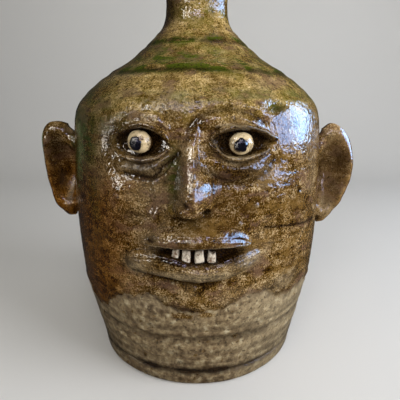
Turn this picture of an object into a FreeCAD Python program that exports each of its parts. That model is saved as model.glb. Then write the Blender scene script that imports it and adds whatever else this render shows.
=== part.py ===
# Face jug: a wheel-thrown stoneware jug whose front carries a face made of separate pieces
# of clay. Each piece is luted to the thrown wall: a nose, eyelids, balls of pale clay for
# eyes with dark pupils, two lips, four white teeth and two cupped ears.
# A pulled strap handle joins the neck to the shoulder behind.
#
# Frame: millimetres, +Z up, the jug's axis is Z, and the foot stands on Z = 0.
# The face looks along -Y. Left and right are those of someone who looks at the face,
# so left is -X.

import FreeCAD, Part
import math
import os

import Sketcher
from FreeCAD import Base

Vector = Base.Vector
Placement = Base.Placement
Rotation = Base.Rotation

UP = Vector(0, 0, 1)
LEFT = -1
RIGHT = 1

# Driving dimensions: alias, value in millimetres or degrees, what it is.
SIZES = [
    ("foot_radius", 70.5, "radius of the foot where it stands"),
    ("foot_bevel", 1.6, "bevel round the foot's lower edge"),
    ("foot_band", 8.0, "height of the plain band above the foot"),
    ("band_radius", 71.6, "radius at the top of that band"),
    ("jaw_radius", 79.3, "radius where the lower wall meets the face's lower edge"),
    ("jaw_height", 46.0, "height of that line"),
    ("jaw_ledge", 1.3, "how far the face's wall stands out past the lower wall"),
    ("belly_curve", 560.0, "radius of the long curve up the face's wall"),
    ("temple_radius", 80.3, "radius where the shoulder starts to turn in"),
    ("temple_height", 160.0, "height of that place"),
    ("shoulder_curve", 19.5, "radius of the shoulder's turn"),
    ("shoulder_slope", 52.0, "degrees between the upper shoulder and the vertical"),
    ("neck_curve", 20.0, "radius of the hollow between shoulder and neck"),
    ("neck_radius", 19.7, "outer radius of the neck"),
    ("rim_section", 6.0, "radius of the rolled rim's section"),
    ("mouth_edge", 2.0, "bevel of the mouth's inner edge"),
    ("jug_height", 248.0, "height to the top of the rim"),
    ("wall", 6.4, "thickness of the thrown wall"),
    ("floor_thickness", 9.0, "thickness of the floor"),
    ("heel", 12.0, "rise of the slanted heel between floor and wall, inside"),
    ("shoulder_inner_height", 164.5, "height at which the shoulder starts to slope, inside"),
    ("ring_half_height", 1.7, "half the height of a throwing ring's groove"),
    ("ring_depth", 0.8, "depth of a throwing ring's groove"),
    ("foot_ring_height", 10.8, "height of the ring above the foot band"),
    ("mid_ring_height", 37.7, "height of the ring below the jaw"),
    ("shoulder_ring_height", 185.0, "height of the ring on the shoulder"),
    ("handle_width", 27.0, "width of the strap handle"),
    ("handle_thickness", 9.0, "thickness of the strap handle"),
    ("handle_edge", 2.8, "bevel of the strap's edges"),
    ("handle_height", 226.0, "height at which the strap leaves the neck"),
    ("handle_reach", 48.3, "distance from the wall, where the strap leaves it, to its far run"),
    ("handle_bend", 24.0, "radius of the strap's two bends"),
    ("handle_drop", 6.0, "length of the straight run between the bends"),
    ("seat", 1.5, "how far inside the wall's face a clay piece's centre line lies"),
    ("left_ear_top", 157.0, "height of the left ear's top"),
    ("left_ear_bottom", 86.0, "height of the left lobe's underside"),
    ("left_ear_reach", 109.0, "distance from the axis to the left ear's outer edge"),
    ("right_ear_top", 155.5, "height of the right ear's top"),
    ("right_ear_bottom", 82.5, "height of the right lobe's underside"),
    ("right_ear_reach", 112.0, "distance from the axis to the right ear's outer edge"),
    ("ear_root", 78.0, "distance from the axis to the ear's root in the wall"),
    ("ear_half_depth", 12.5, "half an ear's depth from front to back"),
    ("ear_rim", 5.4, "thickness of an ear's rim"),
    ("ear_hollow", 17.0, "depth of the hollow pressed into an ear from the front"),
    ("nose_x", -3.0, "middle of the nose across the face"),
    ("nose_top", 155.5, "height of the root of the nose"),
    ("nose_bottom", 114.0, "height of the underside of the nose"),
    ("nose_half_width", 9.6, "half the width of the nose"),
    ("nose_depth", 20.0, "how far the tip stands out from the wall"),
    ("wing_radius", 5.6, "radius of the nose's wings"),
    ("wing_spread", 7.6, "distance from the middle of the nose to a wing's centre"),
    ("wing_height", 118.9, "height of the wings"),
    ("wing_out", 4.0, "how far a wing's centre stands out from the wall"),
    ("nostril_radius", 1.9, "radius of a nostril"),
    ("nostril_spread", 6.2, "distance from the middle of the nose to a nostril"),
    ("nostril_out", 6.4, "how far a nostril's centre stands out from the wall"),
    ("nostril_depth", 5.0, "depth of a nostril above the nose's underside"),
    ("ball_radius", 6.4, "radius of an eyeball"),
    ("ball_out", 1.4, "how far an eyeball's centre stands out from the wall"),
    ("pupil_radius", 2.8, "radius of a pupil"),
    ("pupil_out", 0.5, "how far a pupil stands out from the ball"),
    ("left_eye_x", -27.0, "middle of the left eye across the face"),
    ("left_eye_height", 149.7, "height of the left eye"),
    ("left_pupil_aside", -1.2, "how far the left pupil is off the ball's middle"),
    ("left_lid_x", -28.3, "middle of the left eyelids across the face"),
    ("left_lid_height", 147.8, "height of the left eyelids' corners"),
    ("left_lid_half_width", 15.6, "half the length of the left eyelids"),
    ("left_upper_lid_crown", 159.6, "height of the left upper lid's crown"),
    ("left_upper_lid_half_height", 3.3, "half the height of the left upper lid"),
    ("left_lower_lid_crown", 138.2, "height of the left lower lid's lowest place"),
    ("right_eye_x", 21.8, "middle of the right eye across the face"),
    ("right_eye_height", 149.2, "height of the right eye"),
    ("right_pupil_aside", -0.3, "how far the right pupil is off the ball's middle"),
    ("right_lid_x", 22.6, "middle of the right eyelids across the face"),
    ("right_lid_height", 150.4, "height of the right eyelids' corners"),
    ("right_lid_half_width", 17.6, "half the length of the right eyelids"),
    ("right_upper_lid_crown", 159.9, "height of the right upper lid's crown"),
    ("right_upper_lid_half_height", 4.4, "half the height of the right upper lid"),
    ("right_lower_lid_crown", 137.2, "height of the right lower lid's lowest place"),
    ("upper_lid_depth", 6.8, "how far an upper lid stands out from the wall"),
    ("lower_lid_half_height", 5.5, "half the height of a lower lid"),
    ("lower_lid_depth", 5.6, "how far a lower lid stands out from the wall"),
    ("upper_lip_x", -0.4, "middle of the upper lip across the face"),
    ("upper_lip_height", 97.4, "height of the upper lip's corners"),
    ("upper_lip_half_width", 29.6, "half the length of the upper lip"),
    ("upper_lip_crown", 104.0, "height of the upper lip's middle"),
    ("upper_lip_half_height", 4.7, "half the height of the upper lip"),
    ("upper_lip_depth", 9.0, "how far the upper lip stands out from the wall"),
    ("lower_lip_x", -2.0, "middle of the lower lip across the face"),
    ("lower_lip_height", 89.0, "height of the lower lip's corners"),
    ("lower_lip_half_width", 34.5, "half the length of the lower lip"),
    ("lower_lip_crown", 84.4, "height of the lower lip's middle"),
    ("lower_lip_half_height", 6.1, "half the height of the lower lip"),
    ("lower_lip_depth", 8.2, "how far the lower lip stands out from the wall"),
    ("tooth_row_x", -1.5, "middle of the row of teeth across the face"),
    ("tooth_pitch", 6.1, "distance between the middles of neighbouring teeth"),
    ("tooth_width", 4.5, "width of a tooth"),
    ("tooth_top", 95.6, "height of the teeth's upper edges"),
    ("tooth_length", 7.4, "length of a tooth"),
    ("tooth_out", 5.4, "how far a tooth's face stands out from the wall"),
    ("tooth_edge", 0.8, "bevel of a tooth's edges"),
    ("overrun", 5.0, "how far every cut runs past what it cuts"),
]

TOOTH_COUNT = 4

# How finely the pressed-on clay is drawn. Clay that is rolled, pinched and pressed on has
# no plane to sketch in, so its many-sided sections are placed by formula and lofted.
SECTION_SIDES = 14
BALL_SIDES = 24
ROLL_STEPS = 10
EAR_STEPS = 10

# How a roll or an ear runs out at its ends: the section left at the tip, as a share of the
# full one, and the powers by which a lid's line, a lip's line and an ear fill out.
TIP_SHARE = 0.3
LID_ARCH = 1.3
LIP_ARCH = 1.0
EAR_FILL = 0.4

# Across an ear, as shares of its reach past its root: inner and outer edge of the section
# at the tips and, added to those, at the full middle.
EAR_TIP_SHARES = (0.30, 0.50)
EAR_GAIN_SHARES = (-0.70, 0.50)

# Up the nose: place from its underside to its root, width and depth as shares.
NOSE_SHARES = [
    (0.00, 0.50, 0.28),
    (0.06, 0.86, 0.62),
    (0.16, 1.00, 0.88),
    (0.31, 0.98, 1.00),
    (0.48, 0.90, 0.84),
    (0.66, 0.72, 0.60),
    (0.85, 0.50, 0.34),
    (1.00, 0.28, 0.12),
]

doc = FreeCAD.newDocument("face_jug")
sizes = doc.addObject("Spreadsheet::Sheet", "sizes")
for row, (alias, value, note) in enumerate(SIZES, start=1):
    sizes.set(f"A{row}", note)
    sizes.set(f"B{row}", str(value))
    sizes.setAlias(f"B{row}", alias)
doc.recompute()


def size(alias):
    """The value of one driving dimension, as the sheet holds it."""
    return float(sizes.get(alias))


def bind(thing, prop, expression):
    """Ties a property to the sheet. Aliases in the expression are written in braces."""
    thing.setExpression(prop, expression.replace("{", "sizes.").replace("}", ""))


# The thrown profile. Points are (radius, height) pairs in a plane through the axis.
def profile_points():
    """Ends and centres of the curves of the wall's outer face."""
    slope = math.radians(size("shoulder_slope"))
    out = (math.cos(slope), math.sin(slope))
    low = (size("jaw_radius") + size("jaw_ledge"), size("jaw_height") + size("jaw_ledge"))
    temple = (size("temple_radius"), size("temple_height"))
    chord = math.dist(low, temple)
    along = ((temple[0] - low[0]) / chord, (temple[1] - low[1]) / chord)
    back = math.sqrt(size("belly_curve") ** 2 - (chord / 2) ** 2)
    belly_centre = (
        (low[0] + temple[0]) / 2 - along[1] * back,
        (low[1] + temple[1]) / 2 + along[0] * back,
    )
    share = 1 - size("shoulder_curve") / size("belly_curve")
    shoulder_centre = tuple(c + (p - c) * share for p, c in zip(temple, belly_centre))
    slope_low = tuple(c + size("shoulder_curve") * o for c, o in zip(shoulder_centre, out))
    hollow = size("neck_curve")
    hollow_radius = size("neck_radius") + hollow
    hollow_rise = (hollow - (hollow_radius - slope_low[0]) * out[0]) / out[1]
    hollow_centre = (hollow_radius, slope_low[1] + hollow_rise)
    return {
        "low": low,
        "belly_centre": belly_centre,
        "temple": temple,
        "shoulder_centre": shoulder_centre,
        "slope_low": slope_low,
        "slope_high": tuple(c - hollow * o for c, o in zip(hollow_centre, out)),
        "hollow_centre": hollow_centre,
        "neck_low": (size("neck_radius"), hollow_centre[1]),
    }


def wall_radius(height):
    """Outer radius of the jug at a height below the rim."""
    profile = profile_points()
    if height <= size("jaw_height"):
        share = (height - size("foot_band")) / (size("jaw_height") - size("foot_band"))
        return size("band_radius") + share * (size("jaw_radius") - size("band_radius"))
    if height <= profile["temple"][1]:
        centre = profile["belly_centre"]
        return centre[0] + math.sqrt(size("belly_curve") ** 2 - (height - centre[1]) ** 2)
    if height <= profile["slope_low"][1]:
        centre = profile["shoulder_centre"]
        return centre[0] + math.sqrt(size("shoulder_curve") ** 2 - (height - centre[1]) ** 2)
    if height <= profile["slope_high"][1]:
        rise = height - profile["slope_low"][1]
        return profile["slope_low"][0] - rise * math.tan(math.radians(size("shoulder_slope")))
    centre = profile["hollow_centre"]
    drop = max(centre[1] - height, 0)
    return centre[0] - math.sqrt(size("neck_curve") ** 2 - drop**2)


def wall_normal(across, height):
    """Level direction straight out of the front wall at `across`."""
    turn = math.asin(across / wall_radius(height))
    return Vector(math.sin(turn), -math.cos(turn), 0)


def wall_point(across, height, out=0.0):
    """The place on the front of the wall at `across`, standing `out` proud of it."""
    normal = wall_normal(across, height)
    return UP * height + normal * (wall_radius(height) + out)


# Sketch helpers. In a constraint a place is a pair: geometry and 1 start, 2 end, 3 centre.
ORIGIN = (-1, 1)


def flat(point):
    return Vector(point[0], point[1], 0)


def add_line(sketch, start, end):
    return sketch.addGeometry(Part.LineSegment(flat(start), flat(end)), False)


def add_arc(sketch, centre, start, end):
    """An arc that turns anticlockwise from start to end."""
    circle = Part.Circle(flat(centre), UP, math.dist(centre, start))
    first, last = (math.atan2(p[1] - centre[1], p[0] - centre[0]) for p in (start, end))
    if last < first:
        last += 2 * math.pi
    return sketch.addGeometry(Part.ArcOfCircle(circle, first, last), False)


def relate(sketch, *arguments):
    """Adds a constraint that has no value, or a plain one."""
    return sketch.addConstraint(Sketcher.Constraint(*arguments))


def measure(sketch, name, expression, *arguments):
    """Adds a named constraint whose value comes from the sheet."""
    index = relate(sketch, *arguments)
    sketch.renameConstraint(index, name)
    bind(sketch, f"Constraints.{name}", expression)


def pin(sketch, name, place, point, across, up):
    """Fixes a sketch point by two expressions: its distance across and its height."""
    measure(sketch, f"{name}_across", across, "DistanceX", *ORIGIN, *place, point[0])
    measure(sketch, f"{name}_up", up, "DistanceY", *ORIGIN, *place, point[1])


def new_sketch(body, name, plane):
    sketch = body.newObject("Sketcher::SketchObject", name)
    origin = next(p for p in body.Origin.OriginFeatures if p.Role == plane)
    sketch.AttachmentSupport = (origin, [""])
    sketch.MapMode = "FlatFace"
    return sketch


def join(sketch, pairs):
    """Joins the end of the first edge of each pair to the start of the second."""
    for first, second in pairs:
        relate(sketch, "Coincident", first, 2, second, 1)


def thrown_outline(body):
    """The wall's outer face from the foot to the rolled rim, closed along the axis."""
    sketch = new_sketch(body, "outline", "XZ_Plane")
    points = profile_points()
    foot_edge = (size("foot_radius") - size("foot_bevel"), 0)
    foot_side = (size("foot_radius"), size("foot_bevel"))
    band_top = (size("band_radius"), size("foot_band"))
    jaw = (size("jaw_radius"), size("jaw_height"))
    neck_top = (size("neck_radius"), size("jug_height") - 2 * size("rim_section"))
    rim_centre = (size("neck_radius"), size("jug_height") - size("rim_section"))
    rim_top = (size("neck_radius"), size("jug_height"))
    axis_line = add_line(sketch, (0, size("jug_height")), (0, 0))
    foot = add_line(sketch, (0, 0), foot_edge)
    bevel = add_line(sketch, foot_edge, foot_side)
    band = add_line(sketch, foot_side, band_top)
    low_wall = add_line(sketch, band_top, jaw)
    ledge = add_line(sketch, jaw, points["low"])
    belly = add_arc(sketch, points["belly_centre"], points["low"], points["temple"])
    shoulder = add_arc(sketch, points["shoulder_centre"], points["temple"], points["slope_low"])
    slope = add_line(sketch, points["slope_low"], points["slope_high"])
    hollow = add_arc(sketch, points["hollow_centre"], points["neck_low"], points["slope_high"])
    neck = add_line(sketch, points["neck_low"], neck_top)
    rim = add_arc(sketch, rim_centre, neck_top, rim_top)
    top = add_line(sketch, rim_top, (0, size("jug_height")))
    join(sketch, ((axis_line, foot), (foot, bevel), (bevel, band), (band, low_wall),
                  (low_wall, ledge), (ledge, belly), (neck, rim), (rim, top),
                  (top, axis_line)))
    relate(sketch, "Tangent", belly, 2, shoulder, 1)
    relate(sketch, "Tangent", shoulder, 2, slope, 1)
    relate(sketch, "Tangent", slope, 2, hollow, 2)
    relate(sketch, "Tangent", hollow, 1, neck, 1)
    relate(sketch, "Coincident", axis_line, 2, *ORIGIN)
    relate(sketch, "Vertical", axis_line)
    relate(sketch, "Horizontal", foot)
    relate(sketch, "Horizontal", top)
    relate(sketch, "Vertical", neck)
    measure(sketch, "foot_edge", "{foot_radius} - {foot_bevel}",
            "DistanceX", *ORIGIN, foot, 2, foot_edge[0])
    pin(sketch, "foot_side", (bevel, 2), foot_side, "{foot_radius}", "{foot_bevel}")
    pin(sketch, "band_top", (band, 2), band_top, "{band_radius}", "{foot_band}")
    pin(sketch, "jaw", (low_wall, 2), jaw, "{jaw_radius}", "{jaw_height}")
    pin(sketch, "low", (belly, 1), points["low"],
        "{jaw_radius} + {jaw_ledge}", "{jaw_height} + {jaw_ledge}")
    pin(sketch, "temple", (belly, 2), points["temple"], "{temple_radius}", "{temple_height}")
    measure(sketch, "belly_curve", "{belly_curve}", "Radius", belly, size("belly_curve"))
    measure(sketch, "shoulder_curve", "{shoulder_curve}",
            "Radius", shoulder, size("shoulder_curve"))
    measure(sketch, "shoulder_slope", "{shoulder_slope} * 1 deg",
            "Angle", axis_line, 2, slope, 1, math.radians(size("shoulder_slope")))
    measure(sketch, "neck_curve", "{neck_curve}", "Radius", hollow, size("neck_curve"))
    pin(sketch, "neck_top", (neck, 2), neck_top,
        "{neck_radius}", "{jug_height} - 2 * {rim_section}")
    pin(sketch, "rim_top", (rim, 2), rim_top, "{neck_radius}", "{jug_height}")
    measure(sketch, "rim_across", "{neck_radius}",
            "DistanceX", *ORIGIN, rim, 3, rim_centre[0])
    return sketch


def cavity_outline(body):
    """The inside: floor, slanted heel, straight walls, shoulder and a straight bore."""
    sketch = new_sketch(body, "cavity_outline", "XZ_Plane")
    wall = size("wall")
    floor_up = size("floor_thickness")
    heel_top = floor_up + size("heel")
    heel_side = (wall_radius(heel_top) - wall, heel_top)
    low = (size("jaw_radius") + size("jaw_ledge") - wall, size("jaw_height") + size("jaw_ledge"))
    belly_up = (low[1] + size("temple_height")) / 2
    belly = (wall_radius(belly_up) - wall, belly_up)
    shoulder = (size("temple_radius") - wall, size("shoulder_inner_height"))
    bore = size("neck_radius") - wall
    slope_run = (shoulder[0] - bore) / math.tan(math.radians(size("shoulder_slope")))
    bore_low = (bore, shoulder[1] + slope_run)
    lid = size("jug_height") + size("overrun")
    corners = [(0, lid), (0, floor_up), (heel_side[0] - size("heel"), floor_up), heel_side,
               low, belly, shoulder, bore_low, (bore, lid)]
    edges = [add_line(sketch, start, end)
             for start, end in zip(corners, corners[1:] + corners[:1])]
    join(sketch, zip(edges, edges[1:] + edges[:1]))
    axis_line, floor, heel, low_wall, belly_low, belly_high, slope, neck, top = edges
    relate(sketch, "PointOnObject", axis_line, 1, -2)
    relate(sketch, "Vertical", axis_line)
    relate(sketch, "Horizontal", floor)
    relate(sketch, "Vertical", neck)
    relate(sketch, "Horizontal", top)
    measure(sketch, "floor_up", "{floor_thickness}",
            "DistanceY", *ORIGIN, floor, 1, floor_up)
    measure(sketch, "heel_across", "{heel}", "DistanceX", heel, 1, heel, 2, size("heel"))
    pin(sketch, "heel_side", (heel, 2), heel_side,
        "{band_radius} + ({floor_thickness} + {heel} - {foot_band})"
        " * ({jaw_radius} - {band_radius}) / ({jaw_height} - {foot_band}) - {wall}",
        "{floor_thickness} + {heel}")
    pin(sketch, "low", (low_wall, 2), low,
        "{jaw_radius} + {jaw_ledge} - {wall}", "{jaw_height} + {jaw_ledge}")
    relate(sketch, "DistanceX", *ORIGIN, belly_low, 2, belly[0])
    measure(sketch, "belly_up", "({jaw_height} + {jaw_ledge} + {temple_height}) / 2",
            "DistanceY", *ORIGIN, belly_low, 2, belly_up)
    pin(sketch, "shoulder", (belly_high, 2), shoulder,
        "{temple_radius} - {wall}", "{shoulder_inner_height}")
    measure(sketch, "slope", "{shoulder_slope} * 1 deg",
            "Angle", axis_line, 2, slope, 1, math.radians(size("shoulder_slope")))
    pin(sketch, "bore_top", (neck, 2), (bore, lid),
        "{neck_radius} - {wall}", "{jug_height} + {overrun}")
    return sketch


def ring_outline(body):
    """The throwing rings' grooves: each a shallow V that points into the wall."""
    sketch = new_sketch(body, "ring_outline", "XZ_Plane")
    slope = math.radians(size("shoulder_slope"))
    rise = math.atan2(size("jaw_radius") - size("band_radius"),
                      size("jaw_height") - size("foot_band"))
    depth = size("ring_depth")
    half = size("ring_half_height")
    for name, lean in (("foot_ring", -rise), ("mid_ring", -rise), ("shoulder_ring", slope)):
        height = size(f"{name}_height")
        radius = wall_radius(height)
        out = (math.cos(lean), math.sin(lean))
        tip = (radius - depth * out[0], height - depth * out[1])
        mouth = [
            (radius + depth * out[0] - 2 * way * half * out[1],
             height + depth * out[1] + 2 * way * half * out[0])
            for way in (-1, 1)
        ]
        corners = [tip, *mouth]
        edges = [add_line(sketch, start, end)
                 for start, end in zip(corners, corners[1:] + corners[:1])]
        join(sketch, zip(edges, edges[1:] + edges[:1]))
        for edge, corner in zip(edges, corners):
            relate(sketch, "DistanceX", *ORIGIN, edge, 1, corner[0])
            relate(sketch, "DistanceY", *ORIGIN, edge, 1, corner[1])
    return sketch


def turn(body, kind, name, sketch):
    """Turns a sketch all the way round the jug's axis."""
    feature = body.newObject(kind, name)
    feature.Profile = sketch
    feature.ReferenceAxis = (sketch, ["V_Axis"])
    feature.Angle = 360
    doc.recompute()
    return feature


def make_jug_body():
    """The thrown jug: outer form, throwing rings, cavity and the mouth's bevelled edge."""
    body = doc.addObject("PartDesign::Body", "jug_body")
    turn(body, "PartDesign::Revolution", "thrown_form", thrown_outline(body))
    turn(body, "PartDesign::Groove", "throwing_rings", ring_outline(body))
    cavity = turn(body, "PartDesign::Groove", "cavity", cavity_outline(body))
    mouth_edges = [
        f"Edge{number}"
        for number, edge in enumerate(cavity.Shape.Edges, start=1)
        if isinstance(edge.Curve, Part.Circle)
        and math.isclose(edge.Curve.Radius, size("neck_radius") - size("wall"))
        and math.isclose(edge.Curve.Center.z, size("jug_height"))
    ]
    bevel = body.newObject("PartDesign::Chamfer", "mouth_bevel")
    bevel.Base = (cavity, mouth_edges)
    bind(bevel, "Size", "{mouth_edge}")
    doc.recompute()
    return body


def make_wall_form():
    """The jug's outer form without cavity or rings. Clay pieces are cut to it."""
    body = doc.addObject("PartDesign::Body", "wall_form")
    turn(body, "PartDesign::Revolution", "wall_form_turned", thrown_outline(body))
    return body


def cut_to_seat(name, blank, *neighbours):
    """Cuts a blank to the faces that it is pressed on and gives it the piece's name."""
    piece = blank
    for number, neighbour in enumerate(neighbours, start=1):
        cut = doc.addObject("Part::Cut", f"{name}_seat_{number}")
        cut.Base = piece
        cut.Tool = neighbour
        piece = cut
    piece.Label = name
    doc.recompute()
    return piece


def strap_route(body):
    """Level out from the neck, down round two bends and level back into the shoulder."""
    sketch = new_sketch(body, "strap_route", "YZ_Plane")
    height = size("handle_height")
    bend = size("handle_bend")
    reach = wall_radius(height) + size("handle_reach")
    low_bend_up = height - bend - size("handle_drop")
    foot_up = low_bend_up - bend
    run = add_line(sketch, (0, height), (reach - bend, height))
    curve = add_arc(sketch, (reach - bend, height - bend), (reach, height - bend),
                    (reach - bend, height))
    drop = add_line(sketch, (reach, height - bend), (reach, low_bend_up))
    low_curve = add_arc(sketch, (reach - bend, low_bend_up), (reach - bend, foot_up),
                        (reach, low_bend_up))
    foot_run = add_line(sketch, (reach - bend, foot_up), (0, foot_up))
    relate(sketch, "Tangent", run, 2, curve, 2)
    relate(sketch, "Tangent", curve, 1, drop, 1)
    relate(sketch, "Tangent", drop, 2, low_curve, 2)
    relate(sketch, "Tangent", low_curve, 1, foot_run, 1)
    relate(sketch, "Horizontal", run)
    relate(sketch, "Vertical", drop)
    relate(sketch, "Horizontal", foot_run)
    relate(sketch, "PointOnObject", run, 1, -2)
    relate(sketch, "PointOnObject", foot_run, 2, -2)
    relate(sketch, "DistanceX", *ORIGIN, drop, 1, reach)
    measure(sketch, "bend", "{handle_bend}", "Radius", curve, bend)
    measure(sketch, "low_bend", "{handle_bend}", "Radius", low_curve, bend)
    measure(sketch, "run_up", "{handle_height}", "DistanceY", *ORIGIN, run, 1, height)
    measure(sketch, "drop", "{handle_drop}", "DistanceY", drop, 2, drop, 1, size("handle_drop"))
    return sketch


def strap_section(body):
    """The strap's flat section with bevelled edges, centred on the start of its route."""
    sketch = new_sketch(body, "strap_section", "XZ_Plane")
    edge = size("handle_edge")
    side = size("handle_width") / 2
    low = size("handle_height") - size("handle_thickness") / 2
    high = low + size("handle_thickness")
    corners = [(edge - side, low), (side - edge, low), (side, low + edge), (side, high - edge),
               (side - edge, high), (edge - side, high), (-side, high - edge), (-side, low + edge)]
    edges = [add_line(sketch, start, end)
             for start, end in zip(corners, corners[1:] + corners[:1])]
    join(sketch, zip(edges, edges[1:] + edges[:1]))
    bottom, low_right, right, high_right, top, high_left, left, low_left = edges
    for level in (bottom, top):
        relate(sketch, "Horizontal", level)
    for upright in (left, right):
        relate(sketch, "Vertical", upright)
    pin(sketch, "bottom_right", (bottom, 2), corners[1],
        "{handle_width} / 2 - {handle_edge}", "{handle_height} - {handle_thickness} / 2")
    pin(sketch, "right_high", (right, 2), corners[3],
        "{handle_width} / 2", "{handle_height} + {handle_thickness} / 2 - {handle_edge}")
    measure(sketch, "width", "{handle_width} - 2 * {handle_edge}",
            "DistanceX", bottom, 1, bottom, 2, 2 * (side - edge))
    measure(sketch, "thickness", "{handle_thickness}",
            "DistanceY", bottom, 2, top, 1, high - low)
    measure(sketch, "right_low", "{handle_edge}", "DistanceY", low_right, 1, low_right, 2, edge)
    measure(sketch, "top_right", "{handle_edge}", "DistanceX", high_right, 2, high_right, 1, edge)
    measure(sketch, "top_left", "{handle_edge}", "DistanceX", high_left, 2, high_left, 1, edge)
    measure(sketch, "left_high", "{handle_edge}", "DistanceY", high_left, 2, high_left, 1, edge)
    measure(sketch, "left_low", "{handle_edge}", "DistanceY", low_left, 2, low_left, 1, edge)
    return sketch


def make_handle(wall_form):
    """A strap pulled from the neck, bent down and back and pressed on the shoulder."""
    body = doc.addObject("PartDesign::Body", "strap")
    section = strap_section(body)
    route = strap_route(body)
    doc.recompute()
    strap = body.newObject("PartDesign::AdditivePipe", "pulled_strap")
    strap.Profile = section
    strap.Spine = (route, [f"Edge{number}" for number in range(1, route.GeometryCount + 1)])
    doc.recompute()
    return cut_to_seat("strap_handle", body, wall_form)


def oval(centre, side, half_side, out, half_out, sides=SECTION_SIDES):
    """A closed many-sided section with its corners on an ellipse."""
    corners = []
    for number in range(sides):
        angle = 2 * math.pi * (number + 0.5) / sides
        aside = side * (half_side * math.cos(angle))
        corners.append(centre + aside + out * (half_out * math.sin(angle)))
    return Part.makePolygon(corners + corners[:1])


def loft(name, sections):
    """A solid clay blank ruled from section to section."""
    blank = doc.addObject("Part::Feature", name)
    blank.Shape = Part.makeLoft(sections, True, True)
    return blank


def rolled_ball(name, centre, radius, sides):
    """A ball of clay rolled in the palm, lofted through level rings."""
    rings = []
    for number in range(sides // 2):
        angle = math.pi * ((number + 0.5) / (sides // 2) - 0.5)
        ring_radius = radius * math.cos(angle)
        rings.append(oval(centre + UP * (radius * math.sin(angle)), Vector(1, 0, 0), ring_radius,
                          Vector(0, 1, 0), ring_radius, sides))
    return loft(name, rings)


def roll(name, middle, half_width, crown_height, half_height, depth, arch):
    """A tapering roll laid on the wall, from corner to corner by way of its crown."""
    turns = [math.pi * step / ROLL_STEPS for step in range(ROLL_STEPS + 1)]
    places = [
        (middle[0] - half_width * math.cos(turned),
         middle[1] + (crown_height - middle[1]) * abs(math.sin(turned)) ** arch)
        for turned in turns
    ]
    sections = []
    for number, turned in enumerate(turns):
        before = wall_point(*places[max(number - 1, 0)])
        after = wall_point(*places[min(number + 1, ROLL_STEPS)])
        out = wall_normal(*places[number])
        side = (after - before).cross(out).normalize()
        fullness = TIP_SHARE + (1 - TIP_SHARE) * abs(math.sin(turned))
        sections.append(oval(wall_point(*places[number], -size("seat")), side,
                             half_height * math.sqrt(fullness), out,
                             depth * fullness + size("seat")))
    return loft(f"{name}_roll", sections)


def make_eyeball(side, wall_form):
    """A round ball of pale clay pressed on the wall."""
    centre = wall_point(size(f"{side}_eye_x"), size(f"{side}_eye_height"), size("ball_out"))
    ball = rolled_ball(f"{side}_ball", centre, size("ball_radius"), BALL_SIDES)
    return cut_to_seat(f"{side}_eyeball", ball, wall_form)


def make_pupil(side, eyeball):
    """A thin round disc of dark clay on the front of the ball, a little off its middle."""
    across = size(f"{side}_eye_x")
    height = size(f"{side}_eye_height")
    out = wall_normal(across, height)
    lean = math.asin(size(f"{side}_pupil_aside") / size("ball_radius"))
    look = out * math.cos(lean) + UP.cross(out) * math.sin(lean)
    disc = doc.addObject("Part::Cylinder", f"{side}_disc")
    bind(disc, "Radius", "{pupil_radius}")
    bind(disc, "Height", "{ball_radius} + {pupil_out}")
    disc.Placement = Placement(wall_point(across, height, size("ball_out")),
                               Rotation(UP, look))
    return cut_to_seat(f"{side}_pupil", disc, eyeball)


def make_lid(side, which, *neighbours):
    """One eyelid, bent over or under the ball from corner to corner."""
    name = f"{side}_{which}_lid"
    half_height = "lower_lid_half_height" if which == "lower" else f"{name}_half_height"
    middle = (size(f"{side}_lid_x"), size(f"{side}_lid_height"))
    blank = roll(name, middle, size(f"{side}_lid_half_width"), size(f"{name}_crown"),
                 size(half_height), size(f"{which}_lid_depth"), LID_ARCH)
    return cut_to_seat(name, blank, *neighbours)


def make_lip(which, wall_form):
    """One lip, rolled and pressed on from corner to corner."""
    name = f"{which}_lip"
    middle = (size(f"{name}_x"), size(f"{name}_height"))
    blank = roll(name, middle, size(f"{name}_half_width"), size(f"{name}_crown"),
                 size(f"{name}_half_height"), size(f"{name}_depth"), LIP_ARCH)
    return cut_to_seat(name, blank, wall_form)


def make_nose(wall_form):
    """The bridge and tip in one piece, with a ball of clay on each side for a wing."""
    across = size("nose_x")
    rise = size("nose_top") - size("nose_bottom")
    sections = []
    for up_share, width_share, depth_share in NOSE_SHARES:
        height = size("nose_bottom") + rise * up_share
        out = wall_normal(across, height)
        sections.append(oval(wall_point(across, height, -size("seat")), UP.cross(out),
                             size("nose_half_width") * width_share, out,
                             size("nose_depth") * depth_share + size("seat")))
    lumps = [loft("nose_bridge", sections)]
    nostrils = []
    for side, word in ((LEFT, "left"), (RIGHT, "right")):
        centre = wall_point(across + side * size("wing_spread"), size("wing_height"),
                            size("wing_out"))
        lumps.append(rolled_ball(f"{word}_wing", centre, size("wing_radius"), SECTION_SIDES))
        hole = doc.addObject("Part::Cylinder", f"{word}_nostril")
        bind(hole, "Radius", "{nostril_radius}")
        bind(hole, "Height", "{nostril_depth} + {overrun}")
        hole.Placement.Base = wall_point(across + side * size("nostril_spread"),
                                         size("nose_bottom") - size("overrun"),
                                         size("nostril_out"))
        nostrils.append(hole)
    whole = doc.addObject("Part::MultiFuse", "nose_lump")
    whole.Shapes = lumps
    return cut_to_seat("nose", whole, *nostrils, wall_form)


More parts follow.
